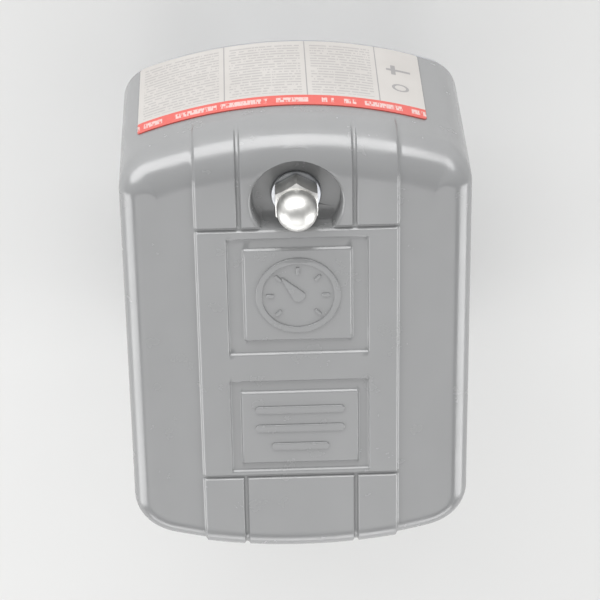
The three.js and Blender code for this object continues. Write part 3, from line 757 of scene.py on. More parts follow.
def label_print():
    """White film with a red heading, three columns of unreadable lines and two plain symbols."""
    n = Nodes("label_film")
    split = n.put(n.add("ShaderNodeSeparateXYZ"), Vector=n.place)
    x, z = (n.times(split.outputs[axis], 1 / MM) for axis in "XZ")
    heading = LABEL_HIGH.z - LABEL_STRIP
    red = n.math("GREATER_THAN", z, heading)
    columns = 0.0
    for left, right in zip(LABEL_COLUMNS[1:], LABEL_COLUMNS[2:]):
        columns = n.math("ADD", columns, n.between(x, left + 1.1, right - 1.1))
    body = n.times(columns, n.between(z, LABEL_LOW.z + 1.5, heading - 1.2))
    ink = n.times(n.times(dashes(n, x, z, 1.3, 0.42, 1.1, 3.0), body), 0.6)
    for edge in LABEL_COLUMNS[1:-1]:
        rule = n.times(n.between(x, edge - 0.12, edge + 0.12), n.math("SUBTRACT", 1.0, red))
        ink = n.larger(ink, rule)
    ink = n.larger(ink, two_symbols(n, x, z, sum(LABEL_COLUMNS[:2]) / 2, heading))
    paper = n.ramp(n.noise(70, 4), (0.385, 0.368, 0.352), (0.42, 0.404, 0.388))
    printed = n.mix(n.times(ink, 0.62), paper, PRINT)
    words = n.times(dashes(n, x, z, LABEL_STRIP, 2.0, 0.3, 8.0),
                    dashes(n, x, z, 0.9, 2.0, 2.4, 5.0))
    white = n.times(n.times(words, red), n.between(z, heading + 1.2, LABEL_HIGH.z - 1.2))
    band = n.mix(n.times(white, 0.85), RED, WHITE_ON_RED)
    return n.shade(Base_Color=n.mix(red, printed, band),
                   Roughness=n.ramp(n.noise(90, 3), 0.30, 0.42),
                   Normal=n.bump(n.noise(300, 4), 0.012))


FINISH["label_film"] = label_print()


def build_label():
    """A thin sheet bent round the front wall, with rounded corners."""
    left, right = LABEL_COLUMNS[0], LABEL_COLUMNS[-1]
    low, high, corner = LABEL_LOW.z, LABEL_HIGH.z, LABEL_CORNER
    rows = [low + corner + ROW_PITCH * i for i in range(11)]
    rows = [low, low + corner * 0.3] + [z for z in rows if z < high - corner - 1]
    rows += [high - corner, high - corner * 0.3, high]
    wide, tall = LABEL_STEPS + 1, len(rows)

    def trim(z):
        """How far the rounded corners take the label's ends in at a level."""
        reach = max(0.0, corner - min(z - low, high - z))
        return corner - math.sqrt(corner**2 - reach**2)

    points, faces = [], []
    for offset in (0.3, 0.06):
        for z in rows:
            for i in range(wide):
                share = i / LABEL_STEPS
                x = left + (right - left) * share + trim(z) * (1 - 2 * share)
                points.append((x, front_wall(x, offset), z))
    shift = wide * tall
    for j in range(tall - 1):
        for a in range(j * wide, j * wide + wide - 1):
            quad = (a, a + 1, a + wide + 1, a + wide)
            faces += [quad, tuple(shift + v for v in reversed(quad))]
    border = list(range(wide)) + [j * wide + wide - 1 for j in range(1, tall)]
    border += [(tall - 1) * wide + i for i in reversed(range(wide - 1))]
    border += [j * wide for j in reversed(range(1, tall - 1))]
    faces += bridge(border, [shift + v for v in border])
    place(mesh_object("label", points, faces), "printed_label", "cover", "label_film", "label")


# ---- Nuts, threads, wires and screws ----

THREAD_ROWS = 6  # rows of a thread's mesh in each pitch
THREAD_DEPTH = 0.58  # in pitches
DOME_RADIUS = 4.2
HEX_HEIGHT = 5.0  # of the acorn nut


def hex_body(across_flats, low, high, at, chamfer_low=True, chamfer_high=True):
    """A hexagonal prism whose corners are turned off at 30 degrees."""
    body = plate([hex_outline(across_flats, *at)], low, high, 0.06, rounds=1)
    corner = across_flats / math.sqrt(3) + 0.3
    flat = across_flats / 2 * 0.97
    drop = (corner - flat) * math.tan(math.radians(30))
    profile = [(0, low)] + ([(flat, low), (corner, low + drop)] if chamfer_low else [(corner, low)])
    profile += [(corner, high - drop), (flat, high)] if chamfer_high else [(corner, high)]
    return boolean(body, [lathe(profile + [(0, high)], at, 96)], "INTERSECT")


def build_cover_nut():
    low, high = span("cover_nut")
    at = (0, RANGE_Y)
    body = hex_body(high.x * 2, low.z, low.z + HEX_HEIGHT, at)
    foot = low.z + HEX_HEIGHT
    neck = DOME_RADIUS - 0.35
    dome = [(0, foot - 1.5), (neck, foot - 1.5), (neck, foot + 0.25), (DOME_RADIUS, foot + 0.7)]
    dome += arc(0, high.z - DOME_RADIUS, DOME_RADIUS, 0, 90, 18)[:-1] + [(0, high.z)]
    boolean(body, [lathe(dome, at, 96)], "UNION", 26)
    bore = [(0, low.z - 1), (3.0, low.z - 1), (3.0, low.z), (2.5, low.z + 0.5), (2.5, high.z - 3.3),
            (0, high.z - 2.6)]
    boolean(body, [lathe(bore, at, 48)], sharp=26)
    place(body, "acorn_nut", "cover_nut", "bright_nickel", "cover_nut")
    low, high = span("cover_nut_washer")
    hole, edge = 2.6, 0.15
    profile = [(hole, low.z), (high.x - edge, low.z), (high.x, low.z + edge),
               (high.x, high.z - edge), (high.x - edge, high.z), (hole, high.z)]
    washer = lathe(profile, at, 72)
    place(washer, "nut_washer", "cover_nut_washer", "zinc_plate", "cover_nut_washer")


def threaded(below, above, pitch, at=(0, 0), sides=28):
    """A turned piece from a profile of (radius, z) points below its thread and one above it. The
    thread runs from the first profile's last point to the second one's first point."""
    (radius, low), (_, high) = below[-1], above[0]
    steps = math.ceil((high - low) / pitch * THREAD_ROWS)
    rows = [(r, z, 0.0) for r, z in below]
    for i in range(1, steps):
        z = low + (high - low) * i / steps
        rows.append((radius, z, min(1.0, (z - low) / pitch, (high - z) / pitch)))
    rows += [(r, z, 0.0) for r, z in above]
    points = []
    for r, z, fade in rows:
        for k in range(sides):
            angle = 2 * math.pi * k / sides
            turn = (z / pitch - k / sides) % 1
            local = r - fade * THREAD_DEPTH * pitch * abs(2 * turn - 1)
            points.append((at[0] + local * math.cos(angle), at[1] + local * math.sin(angle), z))
    return mesh_object("threaded", points, bands(len(rows), sides), 38)


def wire(points, radius, sides=12):
    """A round wire along points in millimetres, with flat ends."""
    points = [Vector(p) for p in points]
    last = len(points) - 1
    made = []
    across = (points[1] - points[0]).orthogonal()
    for i, point in enumerate(points):
        ahead = points[min(i + 1, last)] - points[max(i - 1, 0)]
        if i == 0:  # the curve's own direction at its ends, so that two halves meet squarely
            ahead = 4 * points[1] - 3 * points[0] - points[2]
        if i == last:
            ahead = 3 * points[last] - 4 * points[last - 1] + points[last - 2]
        ahead.normalize()
        across = (across - ahead * across.dot(ahead)).normalized()
        other = ahead.cross(across)
        for k in range(sides):
            angle = 2 * math.pi * k / sides
            made.append(point + radius * (across * math.cos(angle) + other * math.sin(angle)))
    return mesh_object("wire", made, bands(last + 1, sides) + ends(last + 1, sides), 50)


def helix(radius, turns, height_at, start=0.0, end=1.0, steps=30):
    """Points of a helix about Z between two shares of its turns; height_at gives z at a turn."""
    count = math.ceil(turns * steps * (end - start))
    points = []
    for i in range(count + 1):
        turn = turns * (start + (end - start) * i / count)
        angle = 2 * math.pi * turn
        points.append((radius * math.cos(angle), radius * math.sin(angle), height_at(turn)))
    return points


def screw(node, body, slot, head_height, shank, head, pitch=0.7):
    """A slotted pan-head screw in place of a CAD one. shank and head are radii."""
    low, high = span(node)
    x, y = centre(node).x, centre(node).y
    seat = high.z - head_height
    crown_edge = head * 0.82 + 0.1
    below = [(0, low.z), (shank * 0.65, low.z), (shank, low.z + 0.6)]
    above = [(shank, seat - 0.3), (shank, seat), (head - 0.1, seat), (head, seat + 0.15),
             (head, seat + head_height * 0.45)]
    above += [(crown_edge - 0.25 * k, high.z - 0.32 + 0.1 * k) for k in range(4)] + [(0, high.z)]
    whole = threaded(below, above, pitch, (x, y), 32)
    slot_outline = rounded_rect(x - head - 1, y - 0.5, x + head + 1, y + 0.5, 0.05, 4)
    boolean(whole, [plate([slot_outline], high.z - 1.05, high.z + 1, 0.02)])
    stand_for(whole, node, body, slot)


# ---- Frame ----

PLATE_LOW, PLATE_HIGH = 24.0, 25.6
SHEET = PLATE_HIGH - PLATE_LOW
PLATE_INSET = 0.6
CONDUIT = {"y": 41.5, "z": 43.0, "hole": 11.1, "half": 13.1, "face": 32.2}
PIVOT_Y, PIVOT_Z = centre("pivot_pin").y, centre("pivot_pin").z
PIVOT_EAR = {"inner": 14.5, "radius": 3.6, "hole": 2.0}
LIPS = ((14, -31.4, 1), (12, 61.0, -1))  # (half length, its lower y, way to the middle)
LIP_SHEET = 1.2
LIP_TOP = 30.0
FLANGE_SCREWS = [centre(f"flange_screw_{i}") for i in range(1, 5)]
FRAME_HOLE = {"piston": 5.3, "range": 2.45, "differential": 2.1, "flange": 2.1, "small": 1.75}
GROUND = centre("ground_screw_right")
BLOCK_SCREW = centre("block_screw_right")


def plan_outline(inset):
    """The hood's outline in plan, set in by a distance."""
    front, back = shoulder("front", inset), shoulder("back", inset)
    return [p for p, _, _ in front] + [p for p, _, _ in reversed(back)]


def bend_root(along, y, radius, towards, turn):
    """The inside radius where a lug is folded up: a strip with a concave quarter face."""
    z = PLATE_HIGH
    foot, top = y + towards * radius, z + radius
    outline = [(y - towards * 0.3, z - 0.3), (foot, z - 0.3)]
    outline += arc(foot, top, radius, 270, 180 if towards > 0 else 360, 8)
    outline.append((y - towards * 0.3, top))
    return plate([outline], *along, 0.02, turn, rounds=1)


def frame_ears(side, base):
    """A conduit ear and a pivot ear on one side, with the bends at their feet."""
    y, z, half = CONDUIT["y"], CONDUIT["z"], CONDUIT["half"]
    inward = side * (CONDUIT["face"] - SHEET)
    ear = [(y - half, base), (y + half, base)] + arc(y, z, half, 0, 180, 48)
    parts = [plate([ear, circle(y, z, CONDUIT["hole"], 64)],
                   *sorted((side * CONDUIT["face"], inward)), 0.18, ACROSS_X),
             bend_root((-y - half + 0.4, -y + half - 0.4), inward, 1.3, -side, ACROSS_Y)]
    inner, outer = side * PIVOT_EAR["inner"], side * (PIVOT_EAR["inner"] + SHEET)
    radius = PIVOT_EAR["radius"]
    ear = [(PIVOT_Y - 4.3, base), (PIVOT_Y + 3.8, base)]
    ear += arc(PIVOT_Y + 0.2, PIVOT_Z + 0.2, radius, 0, 90, 10)
    ear += arc(PIVOT_Y - 0.7, PIVOT_Z + 0.2, radius, 90, 180, 10)
    parts.append(plate([ear, circle(PIVOT_Y, PIVOT_Z, PIVOT_EAR["hole"])],
                       *sorted((inner, outer)), 0.15, ACROSS_X))
    parts.append(bend_root((-PIVOT_Y - 3.4, -PIVOT_Y + 3.9), outer, 0.9, side, ACROSS_Y))
    return parts


def build_frame():
    sizes = FRAME_HOLE
    holes = [circle(0, 0, sizes["piston"], 48), circle(0, RANGE_Y, sizes["range"]),
             circle(0, DIFF_Y, sizes["differential"])]
    holes += [circle(p.x, p.y, sizes["flange"]) for p in FLANGE_SCREWS]
    holes += [circle(side * p.x, p.y, sizes["small"])
              for p in (GROUND, BLOCK_SCREW) for side in (-1, 1)]
    sheet = plate([plan_outline(PLATE_INSET)] + holes, PLATE_LOW, PLATE_HIGH, 0.2)
    base = PLATE_HIGH - 0.5
    parts = frame_ears(-1, base) + frame_ears(1, base)
    for half, low_y, inward in LIPS:
        high_y = low_y + LIP_SHEET
        lip = [(-half, base), (half, base)] + arc(half - 2, LIP_TOP - 2, 2, 0, 90, 8)
        lip += arc(-half + 2, LIP_TOP - 2, 2, 90, 180, 8)
        parts.append(plate([lip], -high_y, -low_y, 0.15, ACROSS_Y))
        foot = high_y if inward > 0 else low_y
        parts.append(bend_root((-half + 0.3, half - 0.3), foot, 0.8, inward, ACROSS_X))
    boolean(sheet, parts, "UNION")
    stand_for(sheet, "base_frame", "frame", "zinc_plate")


# ---- Pressure side ----

PORT_FLATS, PORT_HEIGHT, PORT_BORE, PORT_PITCH = 22, 12, 6.45, 1.41
DISH_FLOOR = 16
RIM_RADIUS = 27.6  # to the middle of the flange's rounded edge
FLANGE_HOLE = 2.1
FLANGE_HEAD = {"radius": 3.7, "height": 3.0, "shank": 1.9, "socket": 3.0}


def build_housing():
    profile = [(0, 11), (12, 11), (13.5, 12.6)] + arc(19.2, 14.8, 1.2, 270, 360, 6)
    profile += arc(20.9, 18.0, 0.5, 180, 90, 4) + arc(RIM_RADIUS, 18.9, 0.4, 270, 360, 4)
    profile += arc(RIM_RADIUS, PLATE_LOW - 0.4, 0.4, 0, 90, 4)
    profile += [(22.1, PLATE_LOW), (22.1, 22), (18.4, 22), (18.4, DISH_FLOOR), (0, DISH_FLOOR)]
    body = lathe(profile, sides=112)
    boolean(body, [hex_body(PORT_FLATS, 0, PORT_HEIGHT, (0, 0), True, False)], "UNION")
    bore = threaded([(0, -1), (PORT_BORE, -1), (PORT_BORE, 0.4)],
                    [(PORT_BORE, PORT_HEIGHT - 0.8), (4.5, PORT_HEIGHT), (0, PORT_HEIGHT)],
                    PORT_PITCH, sides=56)
    mouth = lathe([(0, -0.5), (7.6, -0.5), (6.3, 0.9), (0, 0.9)], sides=56)
    cutters = [bore, mouth, drill(0, 0, 10, DISH_FLOOR + 1, 2, 32)]
    cutters += [drill(p.x, p.y, 10, 30, FLANGE_HOLE, 32) for p in FLANGE_SCREWS]
    boolean(body, cutters)
    stand_for(body, "pressure_housing", "frame", "zinc_plate")


def build_diaphragm_and_piston():
    under = [(0, 17.6), (13.0, 17.6), (14.2, 17.75), (14.9, 18.6), (15.6, 20.4), (16.0, 21.0),
             (16.5, 21.2), (17.0, 21.05), (17.5, 21.3), (18.3, 22.0), (21.9, 22.0)]
    over = [(21.9, 23.95), (18.8, 23.95), (18.2, 23.3), (17.6, 22.4), (16.5, 22.7), (15.4, 22.4),
            (14.6, 21.2), (13.9, 19.4), (13.3, 19.0), (0, 19.0)]
    stand_for(lathe(under + over, sides=96), "diaphragm", "frame", "rubber")
    disc = [(0, 19.1)] + arc(12.2, 19.5, 0.4, 270, 360, 4) + arc(12.2, 22.0, 0.4, 0, 90, 4)
    stem = [(5.6, 22.4), (5.15, 22.55), (5.0, 23.0), (5.0, 29.4)] + arc(2.6, 28.6, 2.35, 20, 90, 8)
    piston = lathe(disc + stem + [(0, 31.0)], sides=80)
    stand_for(piston, "pressure_piston", "pressure_piston", "brass")


def build_flange_screws():
    radius, height, shank, socket_flats = FLANGE_HEAD.values()
    for i, spot in enumerate(FLANGE_SCREWS, 1):
        at = (spot.x, spot.y)
        low, high = span(f"flange_screw_{i}")
        head = [(0, low.z), (2.7, low.z)] + arc(3.0, low.z + 0.5, 0.5, 270, 350, 4)
        head += [(radius, low.z + height - 0.4), (radius - 0.1, low.z + height),
                 (shank, low.z + height), (shank, low.z + height + 0.6)]
        tip = [(shank, high.z - 0.8), (shank - 0.5, high.z), (0, high.z)]
        whole = threaded(head, tip, 0.7, at, 24)
        socket = plate([hex_outline(socket_flats, *at)], low.z - 1, low.z + 1.8, 0.02, rounds=1)
        boolean(whole, [socket])
        stand_for(whole, f"flange_screw_{i}", "frame", "zinc_plate")


# ---- Studs, springs, caps and nuts ----

LEVER_TILT = 2.5  # degrees, from rest to the lever's limit
STUD_PITCH = 0.8


def build_stud(node, y, radius, collar_radius, collar_top):
    low, high = span(node)
    collar = PLATE_HIGH + 0.05
    below = [(0, low.z), (radius, low.z), (radius, collar), (collar_radius - 0.2, collar),
             (collar_radius, collar + 0.2), (collar_radius, collar_top - 0.3),
             (collar_radius - 0.3, collar_top), (radius, collar_top), (radius, collar_top + 1.0)]
    above = [(radius, high.z - 0.9), (radius * 0.72, high.z), (0, high.z)]
    stand_for(threaded(below, above, STUD_PITCH, (0, y), 32), node, "frame", "zinc_plate")


def build_spring(node, y, radius, wire_radius, turns, travel_joint, travel):
    """A spring whose end turns lie closed and are ground flat, in two halves: the cap presses
    the upper one, the tilting lever the lower one."""
    low, high = span(node)
    closed = 2.02 * wire_radius  # how far a closed turn rises
    first, last = low.z + 0.4 * wire_radius, high.z - 0.4 * wire_radius
    open_rise = (last - first - 2 * closed) / (turns - 2)

    def height_at(turn):
        if turn < 1:
            return first + closed * turn
        if turn > turns - 1:
            return last - closed * (turns - turn)
        return first + closed + open_rise * (turn - 1)

    lever_rise = math.radians(LEVER_TILT) * abs(y - PIVOT_Y)
    for start, name, joint, shorter in ((0.0, "lower", "lever_tilt", lever_rise),
                                        (0.5, "upper", travel_joint, travel)):
        half = wire(helix(radius, turns, height_at, start, start + 0.5), wire_radius)
        for vertex in half.data.vertices:
            vertex.co.z = min(max(vertex.co.z, low.z * MM), high.z * MM)
        moved(half, FLAT, 0, y)
        place(half, f"{node}_{name}_half", "frame", "spring_steel", node)
        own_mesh(half)


def build_spring_seat():
    profile = [(5.2, 33.05), (10.5, 33.05)] + arc(10.4, 33.55, 0.5, 280, 360, 5)
    profile += arc(10.5, 36.6, 0.4, 0, 180, 8) + arc(9.4, 34.9, 0.7, 0, -90, 5)
    profile += [(5.4, 34.2), (5.2, 34.0)]
    stand_for(lathe(profile, (0, RANGE_Y), 80), "range_spring_seat", "operating_lever",
              "zinc_plate")


def build_spring_cap(node, y, radius, spigot, bore):
    low, high = span(node)
    disc = low.z + 2.65
    profile = [(bore, low.z), (spigot - 0.4, low.z), (spigot, low.z + 0.4), (spigot, disc),
               (radius - 0.2, disc), (radius, disc + 0.2), (radius, high.z - 0.5),
               (radius - 0.5, high.z), (bore + 0.3, high.z), (bore, high.z - 0.3)]
    stand_for(lathe(profile, (0, y), 80), node, node, "zinc_plate")


def build_adjusting_nut(node, y, across_flats, bore):
    low, high = span(node)
    at = (0, y)
    nut = hex_body(across_flats, low.z, high.z, at)
    profile = [(0, low.z - 1), (bore + 0.9, low.z - 0.4), (bore, low.z + 0.5),
               (bore, high.z - 0.5), (bore + 0.9, high.z + 0.4), (0, high.z + 1)]
    boolean(nut, [lathe(profile, at, 40)])
    stand_for(nut, node, node, "bright_nickel")


# ---- Lever and its pivot ----

LEVER = {"front": -32.0, "back": 23.0, "half": 13.0, "wall": 1.6, "low": 31.2, "floor": 33.0}
TOGGLE_X = 9.5
TOGGLE_FROM = (9.7, 49.6)  # (y, z) of the spring's end on the lever's arm
TOGGLE_TO = (16.9, 42.9)  # and of its end on the carrier's hook
PIN = {"half": 22.0, "radius": 1.95, "chamfer": 0.35, "groove": 1.7}
CLIP_GROOVE = (-21.5, -20.5)
PIVOT_HOLE = 2.05
CLIP = {"outer": 3.4, "inner": 2.5, "prong": PIN["groove"] + 0.03, "mouth": 38}


def channel_section():
    """The folded channel across X: the plate with a wall up each side, as (x, z) points."""
    outer, inner, top = 2.0, 0.7, 45.0
    half, wall = LEVER["half"], LEVER["half"] - LEVER["wall"]
    right = arc(half - outer, LEVER["low"] + outer, outer, 270, 360, 8)
    right += [(half, top), (wall, top)]
    right += arc(wall - inner, LEVER["floor"] + inner, inner, 0, -90, 5)
    return right + [(-x, z) for x, z in reversed(right)]


def build_lever():
    front, back, half, wall, low, _ = LEVER.values()
    body = plate([channel_section()], -back, -front, 0.12, ACROSS_Y)
    side = [(front - 1, low - 1), (back + 1, low - 1), (back + 1, PIVOT_Z + 2)]
    side += arc(PIVOT_Y - 0.2, PIVOT_Z + 0.4, 3.2, 10, 90, 8)
    side += [(PIVOT_Y - 2.4, PIVOT_Z + 3.6), (PIVOT_Y - 7, 37.6), (front + 4, 36.4)]
    side += arc(front + 1.6, 34.4, 1.6, 90, 180, 6) + [(front - 1, 34.4)]
    boolean(body, [plate([side], -20, 20, 0.02, ACROSS_X, rounds=1)], "INTERSECT")
    y, z = TOGGLE_FROM
    arm = [(6, 33.5), (13, 33.5)] + arc(y - 0.1, z + 0.4, 1.35, 10, 170, 10)
    pin = [(0, 8.2), (0.75, 8.2), (0.9, 8.35), (0.9, 11.6), (0, 11.6)]
    boolean(body, [plate([arm], half - wall, half, 0.15, ACROSS_X), lathe_x(pin, y, z, 24)],
            "UNION")
    boolean(body, [drill(0, RANGE_Y, 20, 34, 4.6), drill(0, DIFF_Y, 20, 34, 3.4),
                   lathe_x(rod(PIVOT_HOLE, -20, 20), PIVOT_Y, PIVOT_Z)])
    stand_for(body, "operating_lever", "operating_lever", "zinc_plate")


def clip_outline():
    """An E-clip round the pin: open upwards, with three prongs that reach into the groove."""
    outer, inner, prong, mouth = CLIP.values()
    prongs = ((82 - mouth, 9), (-90, 22), (98 + mouth - 360, 9))  # (middle, half), clockwise
    outline = arc(PIVOT_Y, PIVOT_Z, outer, 90 + mouth * 0.6, 450 - mouth * 0.6, 48)
    for i, (middle, half) in enumerate(prongs):
        outline += arc(PIVOT_Y, PIVOT_Z, prong, middle + half, middle - half, 8)
        if i < 2:
            after, after_half = prongs[i + 1]
            outline += arc(PIVOT_Y, PIVOT_Z, inner, middle - half - 6, after + after_half + 6, 12)
    return outline


def build_pivot():
    half, radius, chamfer, groove_radius = PIN.values()
    start, end = CLIP_GROOVE
    profile = [(0, -half), (radius - chamfer, -half), (radius, -half + chamfer), (radius, start),
               (groove_radius, start), (groove_radius, end), (radius, end)]
    profile += [(r, -z) for r, z in reversed(profile)]
    stand_for(lathe_x(profile, PIVOT_Y, PIVOT_Z), "pivot_pin", "frame", "bright_nickel")
    for node in ("pin_clip_left", "pin_clip_right"):
        low, high = span(node)
        clip = plate([clip_outline()], low.x, high.x, 0.1, ACROSS_X)
        stand_for(clip, node, "frame", "spring_steel")


# ---- Contacts ----

CONTACT_Z = centre("moving_contact_1").z
POLE_X = centre("contact_bridge_right").x
PANEL = {"front": 17.5, "back": 20.3, "low": 41.0, "high": 53.0, "half": 28.0}
LUG_WIDTH = 3
LUGS = (-20.0, 17.0)
RIBS = ((-28.0, 7.0), (12.0, 28.0))
WINDOWS = (-24.2, -5.0, 24.2)
TOGGLE_TURNS = 8


def carrier_parts():
    """The carrier's lugs, ribs, spring cups and toggle hook."""
    front, _, low, _, _ = PANEL.values()
    parts = []
    for x in LUGS:
        lug = [(16.6, low + 0.6), (16.6, 35.6)] + arc(PIVOT_Y, PIVOT_Z, 3.3, 180, 360, 20)
        lug += [(23.3, 37.5), (20.2, low + 0.6)]
        parts.append(plate([lug], x, x + LUG_WIDTH, 0.25, ACROSS_X))
    for x0, x1 in RIBS:
        rib = rounded_rect(x0, low, x1, low + 1.6, 0.5)
        parts.append(plate([rib], -front - 0.3, -15.8, 0.25, ACROSS_Y))
    cup = [(0, front + 0.3), (3.5, front + 0.3), (3.5, 15.6), (3.1, 15.2), (0, 15.2)]
    parts += [lathe_y(cup, x, CONTACT_Z) for x in (-POLE_X, POLE_X)]
    hook = [(0, 8.2), (0.7, 8.2), (0.9, 8.4), (0.9, 10.8), (0, 10.8)]
    return parts + [lathe_x(hook, *TOGGLE_TO, 24)]


def build_carrier():
    front, back, low, high, half = PANEL.values()
    panel = plate([rounded_rect(-half, low, half, high, 1.2)], -back, -front, 0.3, ACROSS_Y)
    boolean(panel, carrier_parts(), "UNION")
    cutters = [lathe_x(rod(PIVOT_HOLE, -30, 30), PIVOT_Y, PIVOT_Z)]
    cutters += [lathe_y(rod(2.6, 16.2, 22), x, CONTACT_Z) for x in (-POLE_X, POLE_X)]
    for x in WINDOWS:
        window = rounded_rect(x - 1.6, low + 3.2, x + 1.6, high - 1.6, 1.0)
        cutters.append(plate([window], -front - 0.9, -front + 1, 0.1, ACROSS_Y))
    boolean(panel, cutters)
    stand_for(panel, "contact_carrier", "contact_carrier", "phenolic")


def build_bridges():
    boss = [(0, 0), (1.3, 0), (1.3, 0.5), (0.9, 0.8), (0, 0.9)]
    turns, wire_radius = 3.5, 0.3
    for name, x in (("left", -POLE_X), ("right", POLE_X)):
        node = f"contact_bridge_{name}"
        low, high = span(node)
        outline = rounded_rect(low.x, low.z, high.x, high.z, 1.9, 8)
        bar = plate([outline], -high.y, -low.y, 0.12, ACROSS_Y)
        knob = moved(lathe(boss, sides=32), TURNED_TO_Y, x, low.y - 0.7, CONTACT_Z)
        boolean(bar, [knob], "UNION")
        stand_for(bar, node, "contact_carrier", "brass")
        node = f"contact_spring_{name}"
        low, high = span(node)
        rise = (high.y - low.y - 2 * wire_radius) / turns
        points = helix(1.9, turns, lambda turn: low.y + wire_radius + rise * turn)
        spring = moved(wire(points, wire_radius, 10), TURNED_TO_Y, x, 0, CONTACT_Z)
        stand_for(spring, node, "contact_carrier", "spring_steel")


def contact_rivet(node, faces_back, body):
    """A silver rivet head, slightly domed towards the contact that it meets."""
    low, high = span(node)
    thick = high.y - low.y
    shares = ((0, 0), (2.2, 0), (2.2, 0.55), (2.0, 0.82), (1.3, 0.96), (0, 1))
    rivet = lathe([(radius, thick * share) for radius, share in shares], sides=40)
    turn, y = (TURNED_TO_Y, low.y) if faces_back else (TURNED_TO_Y.inverted(), high.y)
    moved(rivet, turn, centre(node).x, y, CONTACT_Z)
    stand_for(rivet, node, body, "contact_silver")


def build_toggle_spring():
    """A small tension spring in two halves, named for the pieces that they hook onto."""
    start, end = Vector((TOGGLE_X, *TOGGLE_FROM)), Vector((TOGGLE_X, *TOGGLE_TO))
    along = (end - start).normalized()
    turn = Vector((0, 0, 1)).rotation_difference(along).to_matrix().to_4x4()
    gap, wire_radius, radius = 1.1, 0.25, 0.9
    length = (end - start).length - 2 * (gap + wire_radius)
    points = helix(radius, TOGGLE_TURNS, lambda t: wire_radius + length * t / TOGGLE_TURNS)
    middle = len(points) // 2
    for name, run, body, hooked in (("lever", points[:middle + 1], "operating_lever", start),
                                    ("carrier", points[middle:], "contact_carrier", end)):
        half = moved(wire(run, wire_radius, 10), turn, *(start + along * gap))
        half.name = f"toggle_spring_{name}_half"
        half.data.materials.append(FINISH["spring_steel"])
        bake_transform(half)
        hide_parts("toggle_spring")


# ---- Terminals ----

TERMINAL_X = [centre(f"terminal_screw_{i}").x for i in range(1, 5)]
TERMINAL_Y = centre("terminal_screw_1").y
LEDGE_Z = 44.0
BLOCK = {"half": 29.0, "front": 24.0, "back": 35.0, "wall_top": 54.0}
BARRIERS = (-28.1, -15.0, 0.0, 15.0, 28.1)
BARRIER_HALF = 0.9
SCREW_HOLE = 2.2
STRIP = {"low": LEDGE_Z + 0.02, "thick": 1.15, "top": 51.5}
CLAMP = {"low": 45.3, "high": 46.4, "half": 4.2, "front": 26.2, "lip": 47.6}


def block_parts(low):
    """The block's barriers and its feet."""
    _, front, back, wall_top = BLOCK.values()
    parts = []
    wall = [(front, LEDGE_Z - 1.5), (back, LEDGE_Z - 1.5)]
    wall += arc(back - 3, wall_top - 3, 3, 0, 90, 8) + arc(front + 1, wall_top - 1, 1, 90, 180, 5)
    for x in BARRIERS:
        parts.append(plate([wall], x - BARRIER_HALF, x + BARRIER_HALF, 0.25, ACROSS_X))
    for x in (-BLOCK_SCREW.x, BLOCK_SCREW.x):
        y = BLOCK_SCREW.y + 1
        foot = [(x - 5, back - 1), (x + 5, back - 1)] + arc(x + 2, y, 3, 0, 90, 8)
        foot += arc(x - 2, y, 3, 90, 180, 8)
        parts.append(plate([foot], low, 29, 0.3))
    return parts


def build_block():
    half, front, back, _ = BLOCK.values()
    low = PLATE_HIGH + 0.05
    body = plate([rounded_rect(front, low, back, LEDGE_Z, 0.6, 4)], -half, half, 0.4, ACROSS_X)
    boolean(body, block_parts(low), "UNION")
    cutters = [plate([rounded_rect(-half + 2, front - 1, half - 2, back - 2, 0.5, 4)], 20, 31, 0.3)]
    cutters += [drill(x, TERMINAL_Y, 33, 50, SCREW_HOLE, 32) for x in TERMINAL_X]
    cutters += [drill(side * BLOCK_SCREW.x, BLOCK_SCREW.y, 20, 40, 1.8, 32) for side in (-1, 1)]
    for x in TERMINAL_X:
        window = rounded_rect(x - 4.2, 33.5, x + 4.2, 41.5, 0.8)
        cutters.append(plate([window], -back - 1, -back + 0.8, 0.1, ACROSS_Y))
    boolean(body, cutters)
    stand_for(body, "terminal_block", "frame", "phenolic")


def build_strip(i, x):
    """A brass strip under the clamp, folded up at the front to carry the fixed contact."""
    low, thick, top = STRIP.values()
    bend = [(34.5, low), (34.5, low + thick)] + arc(24.8, low + thick + 0.7, 0.7, 270, 180, 6)
    bend += [(24.1, top), (23.0, top)] + arc(24.5, low + 1.5, 1.5, 180, 270, 8)
    strip = plate([bend], x - 4.5, x + 4.5, 0.12, ACROSS_X)
    keep, wide = [plate([outline], -60, -20, 0.02, ACROSS_Y, rounds=1) for outline in
                  (rounded_rect(x - 3.5, 40, x + 3.5, top, 1.2),
                   rounded_rect(x - 6, 40, x + 6, 45.6, 0.2))]
    boolean(keep, [wide], "UNION")
    boolean(strip, [keep], "INTERSECT")
    boolean(strip, [drill(x, TERMINAL_Y, 40, 50, SCREW_HOLE, 32)])
    stand_for(strip, f"terminal_strip_{i}", "frame", "brass")


def build_clamp(i, x):
    low, high, half, front, lip = CLAMP.values()
    profile = [(front, low), (33.4, low)] + arc(33.3, low + 0.7, 0.7, 280, 360, 4)
    profile += [(34.0, lip), (33.2, lip)] + arc(32.8, high + 0.4, 0.4, 0, -90, 4) + [(front, high)]
    clamp = plate([profile], x - half, x + half, 0.12, ACROSS_X)
    boolean(clamp, [drill(x, TERMINAL_Y, 40, 50, 2.15, 32)])
    stand_for(clamp, f"wire_clamp_{i}", f"wire_clamp_{i}", "zinc_plate")


